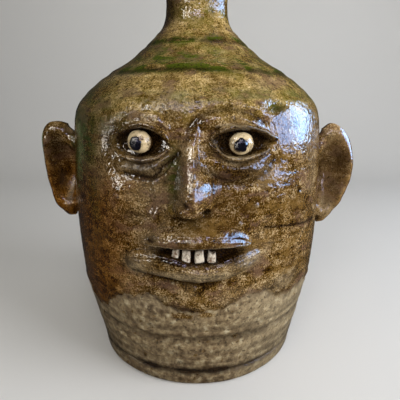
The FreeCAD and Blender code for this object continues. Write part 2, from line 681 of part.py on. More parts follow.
def ear_sections(side, word, inset, forward, half_depth):
    """Level sections of an ear or, with an inset, of the hollow pressed into it."""
    bottom = size(f"{word}_ear_bottom") + inset
    rise = size(f"{word}_ear_top") - inset - bottom
    root = size("ear_root")
    width = size(f"{word}_ear_reach") - inset - root
    sections = []
    for step in range(EAR_STEPS + 1):
        turned = math.pi * step / EAR_STEPS
        fill = abs(math.sin(turned)) ** EAR_FILL
        inner, outer = (tip + gain * fill for tip, gain in zip(EAR_TIP_SHARES, EAR_GAIN_SHARES))
        centre = Vector(side * (root + width * (inner + outer) / 2), -forward,
                        bottom + rise * (1 - math.cos(turned)) / 2)
        sections.append(oval(centre, Vector(side, 0, 0), width * (outer - inner) / 2,
                             Vector(0, -1, 0), half_depth * (TIP_SHARE + (1 - TIP_SHARE) * fill)))
    return sections


def make_ear(side, word, wall_form):
    """A slab of clay set on edge against the wall and cupped forwards by a thumb."""
    half_depth = size("ear_half_depth")
    slab = loft(f"{word}_ear_slab", ear_sections(side, word, 0, 0, half_depth))
    hollow = loft(f"{word}_ear_hollow",
                  ear_sections(side, word, size("ear_rim"), half_depth, size("ear_hollow")))
    return cut_to_seat(f"{word}_ear", slab, hollow, wall_form)


def make_tooth(number, wall_form, lower_lip):
    """A flat chip of white clay with bevelled edges, standing behind the lower lip."""
    name = f"tooth_{number}"
    across = size("tooth_row_x") + (number - (TOOTH_COUNT + 1) / 2) * size("tooth_pitch")
    foot = size("tooth_top") - size("tooth_length")
    facing = Rotation(UP, math.degrees(math.asin(across / wall_radius(foot))))
    chip = doc.addObject("Part::Box", f"{name}_chip")
    bind(chip, "Length", "{tooth_width}")
    bind(chip, "Width", "{tooth_out} + {seat}")
    bind(chip, "Height", "{tooth_length}")
    corner = facing.multVec(Vector(-size("tooth_width") / 2, -size("tooth_out"), 0))
    chip.Placement = Placement(wall_point(across, foot) + corner, facing)
    doc.recompute()
    bevelled = doc.addObject("Part::Chamfer", f"{name}_bevelled")
    bevelled.Base = chip
    front = wall_normal(across, foot)
    middles = [edge.CenterOfMass for edge in chip.Shape.Edges]
    reach = max(middle.dot(front) for middle in middles)
    edge_size = size("tooth_edge")
    bevelled.Edges = [
        (index, edge_size, edge_size)
        for index, middle in enumerate(middles, start=1)
        if middle.dot(front) > reach - edge_size and middle.z > foot + edge_size
    ]
    doc.recompute()
    return cut_to_seat(name, bevelled, wall_form, lower_lip)


jug_body = make_jug_body()
wall_form = make_wall_form()
nodes = [jug_body, make_handle(wall_form)]
for side, word in ((LEFT, "left"), (RIGHT, "right")):
    nodes.append(make_ear(side, word, wall_form))
nodes.append(make_nose(wall_form))
for word in ("left", "right"):
    eyeball = make_eyeball(word, wall_form)
    nodes.append(eyeball)
    nodes.append(make_pupil(word, eyeball))
    lower_lid = make_lid(word, "lower", wall_form, eyeball)
    nodes.append(lower_lid)
    nodes.append(make_lid(word, "upper", wall_form, eyeball, lower_lid))
nodes.append(make_lip("upper", wall_form))
lower_lip = make_lip("lower", wall_form)
nodes.append(lower_lip)
for number in range(1, TOOTH_COUNT + 1):
    nodes.append(make_tooth(number, wall_form, lower_lip))
doc.recompute()

failed = [thing.Name for thing in doc.Objects if {"Invalid", "Error"} & set(thing.State)]
if failed:
    raise RuntimeError(f"objects that did not build: {failed}")
for node in nodes:
    if node.Shape.isNull() or not node.Shape.isValid() or len(node.Shape.Solids) != 1:
        raise RuntimeError(f"{node.Label} is not one valid solid")

os.makedirs("parts", exist_ok=True)
for node in nodes:
    node.Shape.exportStep(f"parts/{node.Label}.step")
    print(f"{node.Label}: {node.Shape.Volume / 1000:.2f} cubic centimetres")
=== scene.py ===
# %% [markdown]
# # A face jug under a runny ash glaze
#
# The real jug was thrown on a wheel. While the clay was soft, the potter pressed smaller
# pieces on its front: a nose, rolls for lids and lips, balls for eyes, chips for teeth and
# two cupped ears. One thick glaze then ran over everything. This lesson builds those pieces
# in the same order, each one as a mesh of its own, and then mixes the glaze.
#
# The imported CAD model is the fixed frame. It comes first, because every piece made here has
# to lie where the CAD piece lies.

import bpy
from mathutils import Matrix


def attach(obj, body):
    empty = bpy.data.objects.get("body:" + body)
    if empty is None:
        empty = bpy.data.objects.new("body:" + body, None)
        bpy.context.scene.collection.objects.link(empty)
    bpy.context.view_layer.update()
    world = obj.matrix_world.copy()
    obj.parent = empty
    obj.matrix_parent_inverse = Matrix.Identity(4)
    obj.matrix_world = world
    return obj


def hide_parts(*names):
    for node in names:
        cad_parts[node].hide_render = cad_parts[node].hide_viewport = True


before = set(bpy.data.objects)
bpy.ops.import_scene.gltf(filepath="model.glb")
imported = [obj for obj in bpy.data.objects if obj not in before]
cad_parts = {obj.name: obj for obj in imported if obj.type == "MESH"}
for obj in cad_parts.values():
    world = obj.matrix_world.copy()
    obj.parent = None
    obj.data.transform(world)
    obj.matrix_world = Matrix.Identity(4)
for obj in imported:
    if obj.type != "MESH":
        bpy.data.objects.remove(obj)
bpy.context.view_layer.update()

# %% [markdown]
# Blender counts in metres and a potter in millimetres, so one factor turns millimetres into
# metres. Two small helpers are used all the way through. `smooth_line` draws a flowing line
# through a few given values, as a potter's profile or a lip does. `bell` is a soft
# swelling, 1 in its middle and 0 at its edge.

# %% Millimetres, smooth lines and soft swellings
import math

import bmesh
import bpy
import numpy as np
from mathutils import Matrix, Vector, noise

MM = 0.001


LINE_PARTS = 1500


def smooth_line(pairs):
    """A flowing line through (place, value) pairs, as a function of the place."""
    places = np.array([pair[0] for pair in pairs], float)
    values = np.array([pair[1] for pair in pairs], float)
    slopes = np.gradient(values, places, axis=0)
    fine = np.linspace(places[0], places[-1], LINE_PARTS + 1)
    low = np.clip(np.searchsorted(places, fine, side="right") - 1, 0, len(places) - 2)
    run = places[low + 1] - places[low]
    t = (fine - places[low]) / run
    if values.ndim > 1:
        run, t = run[:, None], t[:, None]
    line = ((1 + 2 * t) * (1 - t) ** 2 * values[low] + t * (1 - t) ** 2 * run * slopes[low]
            + t * t * (3 - 2 * t) * values[low + 1] - t * t * (1 - t) * run * slopes[low + 1])
    line = line.tolist() if values.ndim == 1 else list(line)
    start, scale = float(places[0]), LINE_PARTS / float(places[-1] - places[0])

    def value(place):
        part = min(max((place - start) * scale, 0.0), LINE_PARTS - 1e-6)
        whole = int(part)
        return line[whole] + (line[whole + 1] - line[whole]) * (part - whole)

    return value


def bell(distance, reach):
    """1 in the middle, 0 at the reach and past it."""
    share = min(abs(distance) / reach, 1.0)
    return (1 - share * share) ** 2


def step(distance, width):
    """0 well below zero, 1 well above it, with a soft edge of the given width."""
    share = min(max(distance / width + 0.5, 0.0), 1.0)
    return share * share * (3 - 2 * share)


print("halfway up a soft edge:", step(0, 1))

# %% [markdown]
# ## The thrown wall
#
# A thrown pot is a solid of revolution, and its wall is described by one line: the radius at
# each height. The list holds that line from the foot up to the neck, in millimetres. Every
# piece pressed on the wall reads its place from the same line, so nothing floats or sinks.

# %% The wall's outer line
WALL_LINE = [
    (0.0, 68.9), (1.6, 70.5), (4.8, 71.1), (8.0, 71.6), (16.0, 73.2), (24.0, 74.8),
    (32.0, 76.5), (40.0, 78.2), (48.0, 80.1), (60.0, 81.7), (72.0, 82.5), (84.0, 83.0),
    (96.0, 83.2), (108.0, 83.2), (120.0, 83.0), (132.0, 82.5), (146.0, 81.6), (153.0, 81.0),
    (160.0, 80.1), (164.0, 79.1), (168.0, 77.3), (171.5, 74.7), (175.0, 71.2), (180.0, 65.8),
    (184.5, 60.4), (188.0, 55.2), (191.0, 49.6), (195.0, 43.2), (200.0, 37.9), (205.0, 32.3),
    (209.0, 27.9), (213.0, 24.0), (217.0, 21.6),
    (221.0, 20.3), (226.0, 19.7), (236.0, 19.7),
]
wall_line = smooth_line(WALL_LINE)
print("radius at the belly, mm:", round(float(wall_line(96)), 2))

# %% [markdown]
# The wall isn't a perfect machine part. Fingers leave throwing rings, three of them deep.
# The glaze stops in a thick wandering roll above the foot, with bare-looking clay under it.
# And the face isn't only stuck on: the eye sockets were pushed in and the cheeks out. All
# this is relief, a distance in or out that depends on the turn about the axis, where 0 is
# the middle of the face, and on the height. Moving the vertices by such a formula gives
# one clean wall without any sculpting by hand.

# %% Relief of the wall
GLAZE_LINE = [
    (-180, 57), (-150, 61), (-120, 55), (-90, 51), (-70, 54), (-56, 52.5), (-50, 47.6),
    (-43, 50.6), (-36, 59), (-27, 64), (-18, 67), (-14, 65.5), (-11.5, 62), (-8, 60), (-2, 58.8),
    (3, 58.2), (8, 59.5), (12, 61), (15, 64.5), (20, 66.5), (27, 66.5), (34, 62), (44, 58),
    (53, 60.5),
    (75, 54), (100, 60), (130, 54), (155, 60), (180, 57),
]
glaze_line = smooth_line(GLAZE_LINE)
SOCKETS = [(-26.0, 149.0, 17.0, 10.5, 3.4), (23.0, 148.5, 18.0, 10.0, 3.4)]
SWELLINGS = [
    (-41.0, 124.0, 17.0, 20.0, 2.4), (40.0, 122.0, 18.0, 20.0, 1.4),
    (0.0, 104.0, 34.0, 15.0, 2.2), (-1.0, 70.0, 30.0, 13.0, 1.6),
    (-24.0, 167.0, 24.0, 8.0, 0.6), (18.0, 170.0, 26.0, 8.0, 0.8),
    (52.0, 146.0, 18.0, 14.0, 1.1), (40.0, 167.0, 9.0, 6.0, -1.2),
]
FOLDS = [  # depth (minus is a groove), half width, tone: painted shade (minus: paler), (across, height)
    (-0.9, 1.7, 0.55, [(-3.9, 156.1), (0.8, 161.4), (7.1, 163.9), (14.9, 165.7), (20.4, 164.5),
                       (28.4, 162.2), (34.1, 159.0)]),
    (-1.5, 1.5, 0.95, [(-8.6, 144.4), (-10.2, 142.6), (-14.0, 139.6), (-16.5, 137.6),
                       (-17.5, 135.2), (-20.5, 133.1), (-26.5, 133.2), (-35.5, 134.0)]),
    (-0.5, 0.9, 0.5, [(-26.8, 141.7), (-21.4, 141.5), (-17.6, 139.7), (-16.7, 137.8)]),
    (-0.5, 0.9, 0.5, [(-27.3, 139.2), (-22.4, 139.0), (-19.6, 137.2), (-19.1, 134.8)]),
    (-0.5, 0.9, 0.5, [(-37.7, 140.5), (-31.4, 140.5), (-26.3, 140.3)]),
    (-1.0, 2.0, 0.7, [(1.0, 139.3), (4.8, 135.9), (9.1, 133.1), (15.2, 130.3), (21.4, 129.3),
                      (29.0, 130.4), (35.5, 134.2), (40.8, 140.6)]),
    (-0.9, 1.3, 0.9, [(-29.9, 81.4), (-23.5, 80.2), (-17.2, 78.4), (-8.1, 77.4), (1.9, 77.0),
                      (9.0, 78.0)]),
    (1.5, 1.7, 0.0, [(-20.9, 132.4), (-19.6, 126.4), (-17.7, 118.9), (-20.5, 112.0)]),
    # Pale lines along the right eye's lower and upper rims: painted highlights.
    (0.3, 0.6, -0.9, [(7.7, 151.0), (10.9, 146.1), (14.4, 143.3), (18.3, 142.0), (24.9, 142.6),
                      (29.8, 143.6), (34.7, 145.7)]),
    (0.3, 0.6, -0.9, [(9.5, 157.2), (15.0, 158.1), (21.8, 157.6), (26.5, 156.1), (32.6, 154.3),
                      (36.5, 152.0)]),
    (0.3, 0.7, -0.8, [(-26.0, 97.2), (-17.1, 98.4), (-8.0, 98.6), (2.0, 99.0), (10.5, 99.0),
                      (18.5, 98.6), (27.4, 96.4)]),
    (0.3, 4.0, -0.3, [(-38.8, 161.8), (-46.6, 159.2), (-51.4, 153.5), (-53.1, 147.7),
                     (-50.8, 140.5), (-47.9, 133.5)]),
    (-0.6, 2.4, 0.6, [(-41.0, 157.0), (-45.5, 152.0), (-45.5, 146.0)]),
    (-0.2, 1.2, 1.2, [(57.2, 121.9), (58.6, 121.9)]),
    # Pale dots: painted glints on small blisters in the glaze.
    (0.6, 0.8, -1.0, [(30.4, 117.8), (31.2, 117.4)]),
    (0.6, 0.7, -1.0, [(22.3, 108.7), (22.7, 107.9)]),
    (0.5, 0.7, -1.0, [(-12.6, 75.8), (-12.0, 75.8)]),
    (0.5, 0.6, -0.9, [(-1.0, 73.3), (-0.4, 73.3)]),
    (-0.8, 1.4, 0.9, [(15.5, 103.8), (19.5, 103.2), (23.5, 101.0)]),
    (-0.6, 1.1, 0.55, [(-24.5, 100.6), (-22.5, 101.2), (-19.5, 101.0)]),
]
RING_HEIGHTS = [(10.8, 1.5, -1.3), (37.7, 3.6, -0.6), (185.0, 2.6, -0.9), (203.0, 2.2, -0.7),
                (176.0, 3.0, 0.4), (194.0, 3.0, 0.4), (27.0, 3.2, 0.35), (20.0, 2.6, -0.3),
                (47.0, 2.6, -0.3), (211.0, 2.0, 0.5)]


def off_line(across, height, points):
    """The distance in mm from a point of the wall to a line through points."""
    nearest = 1e9
    for (x0, z0), (x1, z1) in zip(points, points[1:]):
        run, rise = x1 - x0, z1 - z0
        share = ((across - x0) * run + (height - z0) * rise) / (run * run + rise * rise)
        share = min(max(share, 0.0), 1.0)
        gap = math.hypot(across - x0 - share * run, height - z0 - share * rise)
        nearest = min(nearest, gap)
    return nearest


def folds_at(across, height):
    """How far the folds push the wall out, the painted shade in them and how much paler they are
    painted.
    """
    out = dark = pale = 0.0
    shift = None
    for depth, half_width, darkness, points in FOLDS:
        places, heights = zip(*points)
        reach = 2 * half_width + 1.0
        if (across < min(places) - reach or across > max(places) + reach
                or height < min(heights) - reach or height > max(heights) + reach):
            continue
        if shift is None:
            shift = 0.7 * noise.noise(Vector((across, height, 11.0)) / 5.0)
        share = bell(off_line(across + shift, height + shift, points), 2 * half_width)
        out += depth * share
        tone = darkness * share * share
        dark, pale = max(dark, tone), max(pale, -tone)
    return out, dark, pale


def wander(turn, height, size, seed):
    """A slow random wave over the wall, from -1 to 1, the same in every run."""
    reach = 80.0 / size
    return noise.noise(Vector((math.sin(turn) * reach, math.cos(turn) * reach,
                               height / size + seed)))


def glaze_edge(turn):
    """The height at which the glaze stops, with its small drips, in mm."""
    return (glaze_line(math.degrees(turn)) + 1.6 * wander(turn, 0.0, 9.0, 5.0)
            + 2.4 * wander(turn, 0.0, 4.0, 8.0))


def wall_relief(turn, height):
    """How far the wall stands out past its thrown line, in mm."""
    across = wall_line(height) * math.sin(turn)
    out = 0.45 * wander(turn, height, 34.0, 3.0)
    if height > 1.6:
        ripple = 0.16 - 0.11 * step(height - 62, 20.0)
        out += ripple * math.sin(height * 1.12 + 1.4 * wander(turn, height, 60.0, 9.0))
    for ring, reach, depth in RING_HEIGHTS:
        if abs(height - ring) < reach + 1.0:
            rise = height - ring - 0.9 * wander(turn, ring, 40.0, ring)
            out += depth * bell(rise, reach)
    if math.cos(turn) > 0.2 and height < 180:
        for middle, level, half_width, half_height, depth in SOCKETS:
            far = math.hypot((across - middle) / half_width, (height - level) / half_height)
            out -= depth * bell(far, 1.0)
        for middle, level, half_width, half_height, depth in SWELLINGS:
            far = math.hypot((across - middle) / half_width, (height - level) / half_height)
            out += depth * bell(far, 1.0)
        out += folds_at(across, height)[0]
    if height < 120:
        above = height - glaze_edge(turn)
        out += 0.3 * step(above, 2.0) + 0.35 * bell(above - 1.5, 3.4) - 0.3
    return out * step(height - 0.6, 1.2)


def wall_radius(turn, height):
    return wall_line(height) + wall_relief(turn, height)


def wall_point(across, height, out=0.0):
    """The place on the front of the wall at `across`, standing `out` proud of it, in mm."""
    turn = math.asin(across / wall_line(height))
    radius = wall_radius(turn, height) + out
    return Vector((radius * math.sin(turn), -radius * math.cos(turn), height))


def out_of_wall(across, height):
    turn = math.asin(across / wall_line(height))
    return Vector((math.sin(turn), -math.cos(turn), 0.0))


print("forehead, mm:", [round(c, 1) for c in wall_point(0, 165)])

# %% [markdown]
# Each finished mesh goes through one door. `hand_in` puts the piece in the scene, merges
# doubled vertices, turns all faces outwards, shades them smooth, lets the piece ride on the
# jug's only body and hides the CAD node that it stands for.

# %% Handing in a piece
PIECES = {}


def hand_in(name, mesh_maker, node):
    bmesh.ops.remove_doubles(mesh_maker, verts=mesh_maker.verts, dist=0.02 * MM)
    bmesh.ops.recalc_face_normals(mesh_maker, faces=mesh_maker.faces)
    if mesh_maker.calc_volume(signed=True) < 0:
        bmesh.ops.reverse_faces(mesh_maker, faces=mesh_maker.faces)
    for face in mesh_maker.faces:
        face.smooth = True
    mesh = bpy.data.meshes.new(name)
    mesh_maker.to_mesh(mesh)
    mesh_maker.free()
    piece = bpy.data.objects.new(name, mesh)
    bpy.context.scene.collection.objects.link(piece)
    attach(piece, "root")
    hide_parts(node)
    PIECES[name] = piece
    print(f"{name}: {len(mesh.vertices)} vertices")
    return piece


# %% [markdown]
# The pot itself is spun, as on the wheel. A chain of vertices follows the outer line, rolls
# over the rim and goes down inside to the floor, and `spin` turns it once round the axis.
# The last step of the spin is merged with the first. Then every outer vertex moves by the
# relief. On the way the columns of vertices are crowded towards the front, where the folds
# are, and stand wider apart behind. The inside stays plain.

# %% Throw the pot
TURNS, CROWDING, RIM_STEPS = 336, 0.42, 16
NECK_RADIUS, RIM_RADIUS, JUG_HEIGHT = 19.7, 6.0, 248.0
INNER_LINE = [
    (13.3, 246.0), (13.3, 228.0), (15.0, 211.0), (30.0, 199.0), (56.0, 178.8), (68.0, 169.0),
    (73.4, 160.0), (76.0, 140.0), (76.8, 104.0), (75.6, 66.0), (73.0, 45.0), (67.6, 22.0),
    (63.0, 14.0), (55.0, 9.6), (40.0, 9.0), (0.0, 9.0),
]


def thrown_chain():
    """The wall's line from the middle of the foot, over the rim, to the middle of the floor."""
    chain = [(0.0, 1.2), (58.0, 1.2), (61.0, 0.0), (68.4, 0.0)]
    heights = np.concatenate((np.linspace(0.8, 60, 60), np.linspace(60.9, 172, 112),
                              np.linspace(173, 235, 56)))
    chain += [(float(wall_line(height)), float(height)) for height in heights]
    for number in range(RIM_STEPS + 1):
        angle = math.radians(-84 + number * 180 / RIM_STEPS)
        chain.append((NECK_RADIUS + RIM_RADIUS * math.cos(angle) * 0.98,
                      JUG_HEIGHT - RIM_RADIUS + RIM_RADIUS * math.sin(angle)))
    chain += [(16.0, 247.9), (14.2, 247.2)] + INNER_LINE
    return chain


thrower = bmesh.new()
chain = [thrower.verts.new((radius * MM, 0, height * MM)) for radius, height in thrown_chain()]
edges = [thrower.edges.new(pair) for pair in zip(chain, chain[1:])]
bmesh.ops.spin(thrower, geom=chain + edges, cent=(0, 0, 0), axis=(0, 0, 1),
               angle=math.tau, steps=TURNS, use_merge=True)
for vert in thrower.verts:
    radius, height = math.hypot(vert.co.x, vert.co.y) / MM, vert.co.z / MM
    turn = math.atan2(vert.co.x, -vert.co.y)
    turn -= CROWDING * math.sin(turn)
    if 0.5 < height < 235.5 and abs(radius - wall_line(height)) < 0.5:
        radius = wall_radius(turn, height)
    vert.co = Vector((radius * math.sin(turn), -radius * math.cos(turn), height)) * MM
hand_in("glazed_jug", thrower, "jug_body")

# %% [markdown]
# ## The pulled handle
#
# A strap handle is pulled from a lump of wet clay until it is a flat ribbon with soft ridges
# from the fingers. It leaves the neck, bends down and is pressed on the shoulder. A ring of
# vertices with that section is extruded again and again along the CAD handle's own route:
# a level run, a quarter turn, a short drop and a quarter turn back into the wall.

# %% Pull the handle
STRAP_WIDTH, STRAP_THICKNESS = 26.4, 8.6
STRAP_HEIGHT, STRAP_REACH, STRAP_BEND, STRAP_DROP = 226.0, 68.0, 24.0, 6.0
STRAP_START, STRAP_STEPS, SQUARENESS = 14.0, 60, 0.72


def strap_place(share):
    """Place and heading on the strap's route: (distance behind the axis, height, angle)."""
    run, quarter = STRAP_REACH - STRAP_BEND - STRAP_START, math.pi / 2 * STRAP_BEND
    way = share * (run + 2 * quarter + STRAP_DROP)
    top_middle = (STRAP_REACH - STRAP_BEND, STRAP_HEIGHT - STRAP_BEND)
    if way < run:
        return STRAP_START + way, STRAP_HEIGHT, 0.0
    if way < run + quarter:
        angle = (way - run) / STRAP_BEND
        return (top_middle[0] + STRAP_BEND * math.sin(angle),
                top_middle[1] + STRAP_BEND * math.cos(angle), angle)
    if way < run + quarter + STRAP_DROP:
        return STRAP_REACH, top_middle[1] - (way - run - quarter), math.pi / 2
    angle = (way - run - quarter - STRAP_DROP) / STRAP_BEND
    return (top_middle[0] + STRAP_BEND * math.cos(angle),
            top_middle[1] - STRAP_DROP - STRAP_BEND * math.sin(angle), math.pi / 2 + angle)


def strap_ring(ring, share):
    """Lays the vertices of one section on the route, with two finger grooves on top."""
    back, height, heading = strap_place(share)
    for number, vert in enumerate(ring):
        angle = math.tau * number / len(ring)
        wide, high = math.cos(angle), math.sin(angle)
        aside = math.copysign(abs(wide) ** SQUARENESS, wide) * STRAP_WIDTH / 2
        up = math.copysign(abs(high) ** SQUARENESS, high) * STRAP_THICKNESS / 2
        up -= math.copysign(0.7 * (bell(aside - 5.2, 3.4) + bell(aside + 5.2, 3.4)), up)
        up *= 1 - 0.08 * bell(share - 0.5, 0.5)
        up += 0.25 * noise.noise(Vector((aside / 9, share * 9, up / 9)))
        vert.co = Vector((aside, back + up * math.sin(heading),
                          height + up * math.cos(heading))) * MM


puller = bmesh.new()
ring = bmesh.ops.create_circle(puller, cap_ends=False, segments=48, radius=MM)["verts"]
strap_ring(ring, 0.0)
bmesh.ops.contextual_create(puller, geom=ring)
loop = puller.edges[:]
for number in range(1, STRAP_STEPS + 1):
    grown = bmesh.ops.extrude_edge_only(puller, edges=loop)["geom"]
    ring = [part for part in grown if isinstance(part, bmesh.types.BMVert)]
    loop = [part for part in grown if isinstance(part, bmesh.types.BMEdge)]
    ring.sort(key=lambda vert: vert.index)
    strap_ring(ring, number / STRAP_STEPS)
bmesh.ops.contextual_create(puller, geom=loop)
hand_in("pulled_strap", puller, "strap_handle")

# %% [markdown]
# ## The ears
#
# An ear is a pad of clay, stuck to the wall by its root and cupped from the front by a
# thumb, so that a thin rim stands round a hollow. A sphere has the right topology:
# its front pole becomes the middle of the hollow, its equator the rim and its back pole the
# middle of the back. Each vertex keeps its two angles and moves to a new place.

# %% Press the ears
LEFT_EAR_LINE = [(0, 89), (30, 99.5), (55, 105.4), (90, 106.0), (118, 103.4), (145, 99.5),
                 (165, 93.5), (180, 88)]
LEFT_EAR_UP = [(0, 155.4), (18, 157.0), (40, 154.6), (62, 145), (90, 124), (120, 107),
               (150, 95.5), (168, 91.0), (180, 91)]
RIGHT_EAR_LINE = [(0, 86), (25, 93.5), (50, 102.6), (80, 108.4), (105, 107.8), (130, 102.2),
                  (155, 94.8), (170, 90.5), (180, 87)]
RIGHT_EAR_UP = [(0, 152.0), (22, 155.6), (45, 150), (70, 137), (95, 121), (120, 106),
                (145, 94), (165, 86.5), (180, 85)]


def press_ear(name, node, side, reach_pairs, up_pairs, root, middle):
    """side is -1 for the viewer's left. Angles run from the ear's top to its lobe."""
    reach_line, up_line = smooth_line(reach_pairs), smooth_line(up_pairs)
    presser = bmesh.new()
    bmesh.ops.create_uvsphere(presser, u_segments=144, v_segments=72, radius=1.0)
    for vert in presser.verts:
        front = math.acos(max(-1.0, min(1.0, vert.co.z)))
        around = math.degrees(math.atan2(vert.co.x, vert.co.y))
        share = math.sin(front) ** 0.55 if front < math.pi / 2 else math.sin(front) ** 0.4
        if around >= 0:
            edge_x, edge_z = reach_line(around), up_line(around)
        else:
            edge_x = root
            edge_z = (up_line(0) * (180 + around) - up_line(180) * around) / 180
            edge_x += (reach_line(0) - root) * bell(around, 28) + (
                reach_line(180) - root) * bell(180 + around, 28)
        x = middle[0] + (edge_x - middle[0]) * share
        z = middle[1] + (edge_z - middle[1]) * share
        if front < math.pi / 2:
            y = -3.5 - 7.5 * bell(share - 0.80, 0.36) + 9.5 * bell(share, 0.66)
            y -= 3.0 * bell((x - root) / 9.0, 1.0)
            y += 1.3 * noise.noise(Vector((x / 4.5, z / 6.0, side))) * step(112 - z, 24.0)
        else:
            y = 5.5 + 3.5 * bell(share, 1.0) - 9.0 * bell(share - 1.0, 0.24)
        y += 1.2 * noise.noise(Vector((x / 14, z / 14, side * 3.0)))
        x += 0.5 * noise.noise(Vector((x / 10, z / 10, 7.0)))
        vert.co = Vector((side * x, y, z)) * MM
    return hand_in(name, presser, node)


EAR_ROOT = 79.0
press_ear("cupped_ear_left", "left_ear", -1, LEFT_EAR_LINE, LEFT_EAR_UP, EAR_ROOT,
          (91.0, 124.0))
press_ear("cupped_ear_right", "right_ear", 1, RIGHT_EAR_LINE, RIGHT_EAR_UP, EAR_ROOT,
          (92.5, 122.0))

# %% [markdown]
# ## Rolls of clay: lids, bags, brows and lips
#
# Most of the face is rolls: a little ball is rolled out under the palm, laid on the wall
# and pressed at its edges until it sticks. One function makes them all. It again starts
# from a sphere, whose two poles become the tips of the roll. The other vertices follow
# stations chosen from the photograph: across, height, half the roll's height there and how
# far it stands out. The edge powers say how sharply each edge meets the wall: under 1 is a
# crisp edge, and 2 is clay that was wiped away to nothing.

# %% A roll of clay
SINK = 0.9


def roll_clay(name, node, stations, edges=(0.8, 0.8), lean=0.0, grain=0.25, blunt=3.0,
              fine=(40, 96), lines=()):
    """edges: powers at the lower and the upper edge. lean: the crest's shift upwards.
    lines: scratches along the roll, as (place from -1 to 1, half width, depth in mm)."""
    count = len(stations) - 1
    along = smooth_line([(number / count, station) for number, station in enumerate(stations)])
    roller = bmesh.new()
    bmesh.ops.create_uvsphere(roller, u_segments=fine[0], v_segments=fine[1], radius=1.0)
    for vert in roller.verts:
        t = math.acos(max(-1.0, min(1.0, vert.co.z))) / math.pi
        around = math.atan2(vert.co.y, vert.co.x)
        across, height, half_height, stand = along(t)
        ahead, behind = along(min(t + 0.01, 1)), along(max(t - 0.01, 0))
        heading = Vector((ahead[0] - behind[0], ahead[1] - behind[1])).normalized()
        fullness = (1 - abs(2 * t - 1) ** blunt) ** (1 / blunt) if 0 < t < 1 else 0.0
        aside = math.cos(around) + lean * max(math.sin(around), 0.0)
        power = edges[1] if math.cos(around) > 0 else edges[0]
        rise = math.copysign(abs(math.sin(around)) ** power, math.sin(around))
        out = -SINK + (stand + SINK) * rise * fullness if rise > 0 else -SINK + 0.7 * rise
        out += grain * noise.noise(Vector((across, height, aside * half_height)) / 4.0) * fullness
        for place, reach, depth in lines:
            waver = 0.12 * noise.noise(Vector((across / 6, place * 9, 0.0)))
            out -= depth * bell(math.cos(around) - place - waver, reach) * fullness
        spread = half_height * aside * fullness
        vert.co = wall_point(across - heading.y * spread, height + heading.x * spread, out) * MM
    return hand_in(name, roller, node)


print("a roll's edge lies this far inside the wall, mm:", SINK)

# %% [markdown]
# Each eye is a ball of pale clay in a shadowed socket. Over it lies a thin roll, the upper
# lid, and above that a fuller pad that ends in the brow's crease. Under it a second roll
# makes the lower rim, and a wide flat pad makes the bag. The right eye is drawn out to a
# pinched tip at its outer corner. The left eye's lids are thinner and half wiped away.

# %% Lids, brows and bags
roll_clay("left_upper_rim", "left_upper_lid",
          [(-43.5, 146.5, 1.6, 1.5), (-40.0, 150.5, 1.9, 3.2), (-34.0, 155.6, 2.0, 4.8),
           (-26.5, 158.0, 2.2, 6.2), (-19.0, 156.6, 2.3, 6.0), (-14.0, 152.0, 2.4, 5.0),
           (-11.5, 147.5, 1.8, 2.4)], edges=(0.6, 0.9))
roll_clay("left_brow_pad", "left_upper_lid",
          [(-42.0, 151.0, 3.0, 0.2), (-35.0, 158.0, 4.0, 1.2), (-26.5, 161.0, 4.4, 1.8),
           (-18.0, 159.6, 4.4, 2.0), (-11.0, 153.0, 3.4, 1.0)], edges=(1.2, 1.8))
roll_clay("left_lower_rim", "left_lower_lid",
          [(-42.5, 146.8, 1.8, 1.6), (-37.0, 143.2, 1.9, 3.4), (-31.0, 141.3, 1.9, 4.0),
           (-25.0, 141.0, 1.9, 4.2), (-18.5, 142.6, 1.8, 3.6), (-13.0, 146.4, 1.6, 1.8)],
          edges=(1.6, 0.7))
roll_clay("left_eye_bag", "left_lower_lid",
          [(-46.0, 143.5, 4.5, -0.4), (-39.0, 139.5, 5.5, 0.8), (-31.0, 136.8, 5.6, 2.2),
           (-23.0, 136.6, 5.4, 3.4), (-16.5, 139.6, 4.8, 3.4), (-11.5, 144.5, 3.0, 1.2)],
          edges=(0.75, 1.5), lean=-0.1, grain=0.5)
roll_clay("right_upper_rim", "right_upper_lid",
          [(6.5, 150.8, 1.7, 1.6), (10.5, 154.0, 1.9, 3.8), (16.0, 156.6, 2.1, 5.8),
           (22.5, 157.2, 2.2, 6.4), (29.0, 155.6, 2.1, 5.6), (35.0, 152.6, 2.0, 4.6),
           (40.6, 150.4, 2.2, 3.8)], edges=(0.6, 0.9), blunt=5.0)
roll_clay("right_brow_pad", "right_upper_lid",
          [(-2.0, 154.0, 3.4, 0.2), (4.0, 158.6, 4.6, 1.6), (12.0, 160.6, 4.6, 2.4),
           (21.0, 160.8, 4.2, 2.6), (30.0, 158.0, 3.6, 1.8), (38.0, 154.0, 2.6, 0.4)],
          edges=(1.0, 0.75))
roll_clay("right_lower_rim", "right_lower_lid",
          [(5.8, 150.6, 1.2, 1.6), (9.5, 146.4, 1.3, 3.8), (14.5, 142.8, 1.5, 4.8),
           (21.0, 141.6, 1.6, 4.8), (28.0, 142.8, 1.6, 4.2), (35.0, 146.0, 1.7, 3.6),
           (40.6, 149.4, 1.9, 3.4)], edges=(1.5, 0.6), blunt=5.0)
roll_clay("right_eye_bag", "right_lower_lid",
          [(2.0, 146.0, 3.0, 0.2), (6.5, 140.0, 5.0, 2.2), (14.0, 136.6, 5.4, 2.9),
           (22.0, 136.0, 5.2, 2.8), (31.0, 138.4, 5.0, 1.8), (40.0, 143.2, 4.0, -0.2)],
          edges=(0.9, 1.5), grain=0.4)

# %% [markdown]
# The lips are the two thickest rolls. The upper one is nearly straight along its lower edge.
# The lower one is a broad slab with blunt ends that sags in the middle, so the open mouth
# between them is a dark lens, with the teeth hanging in it. Scratches run along both.

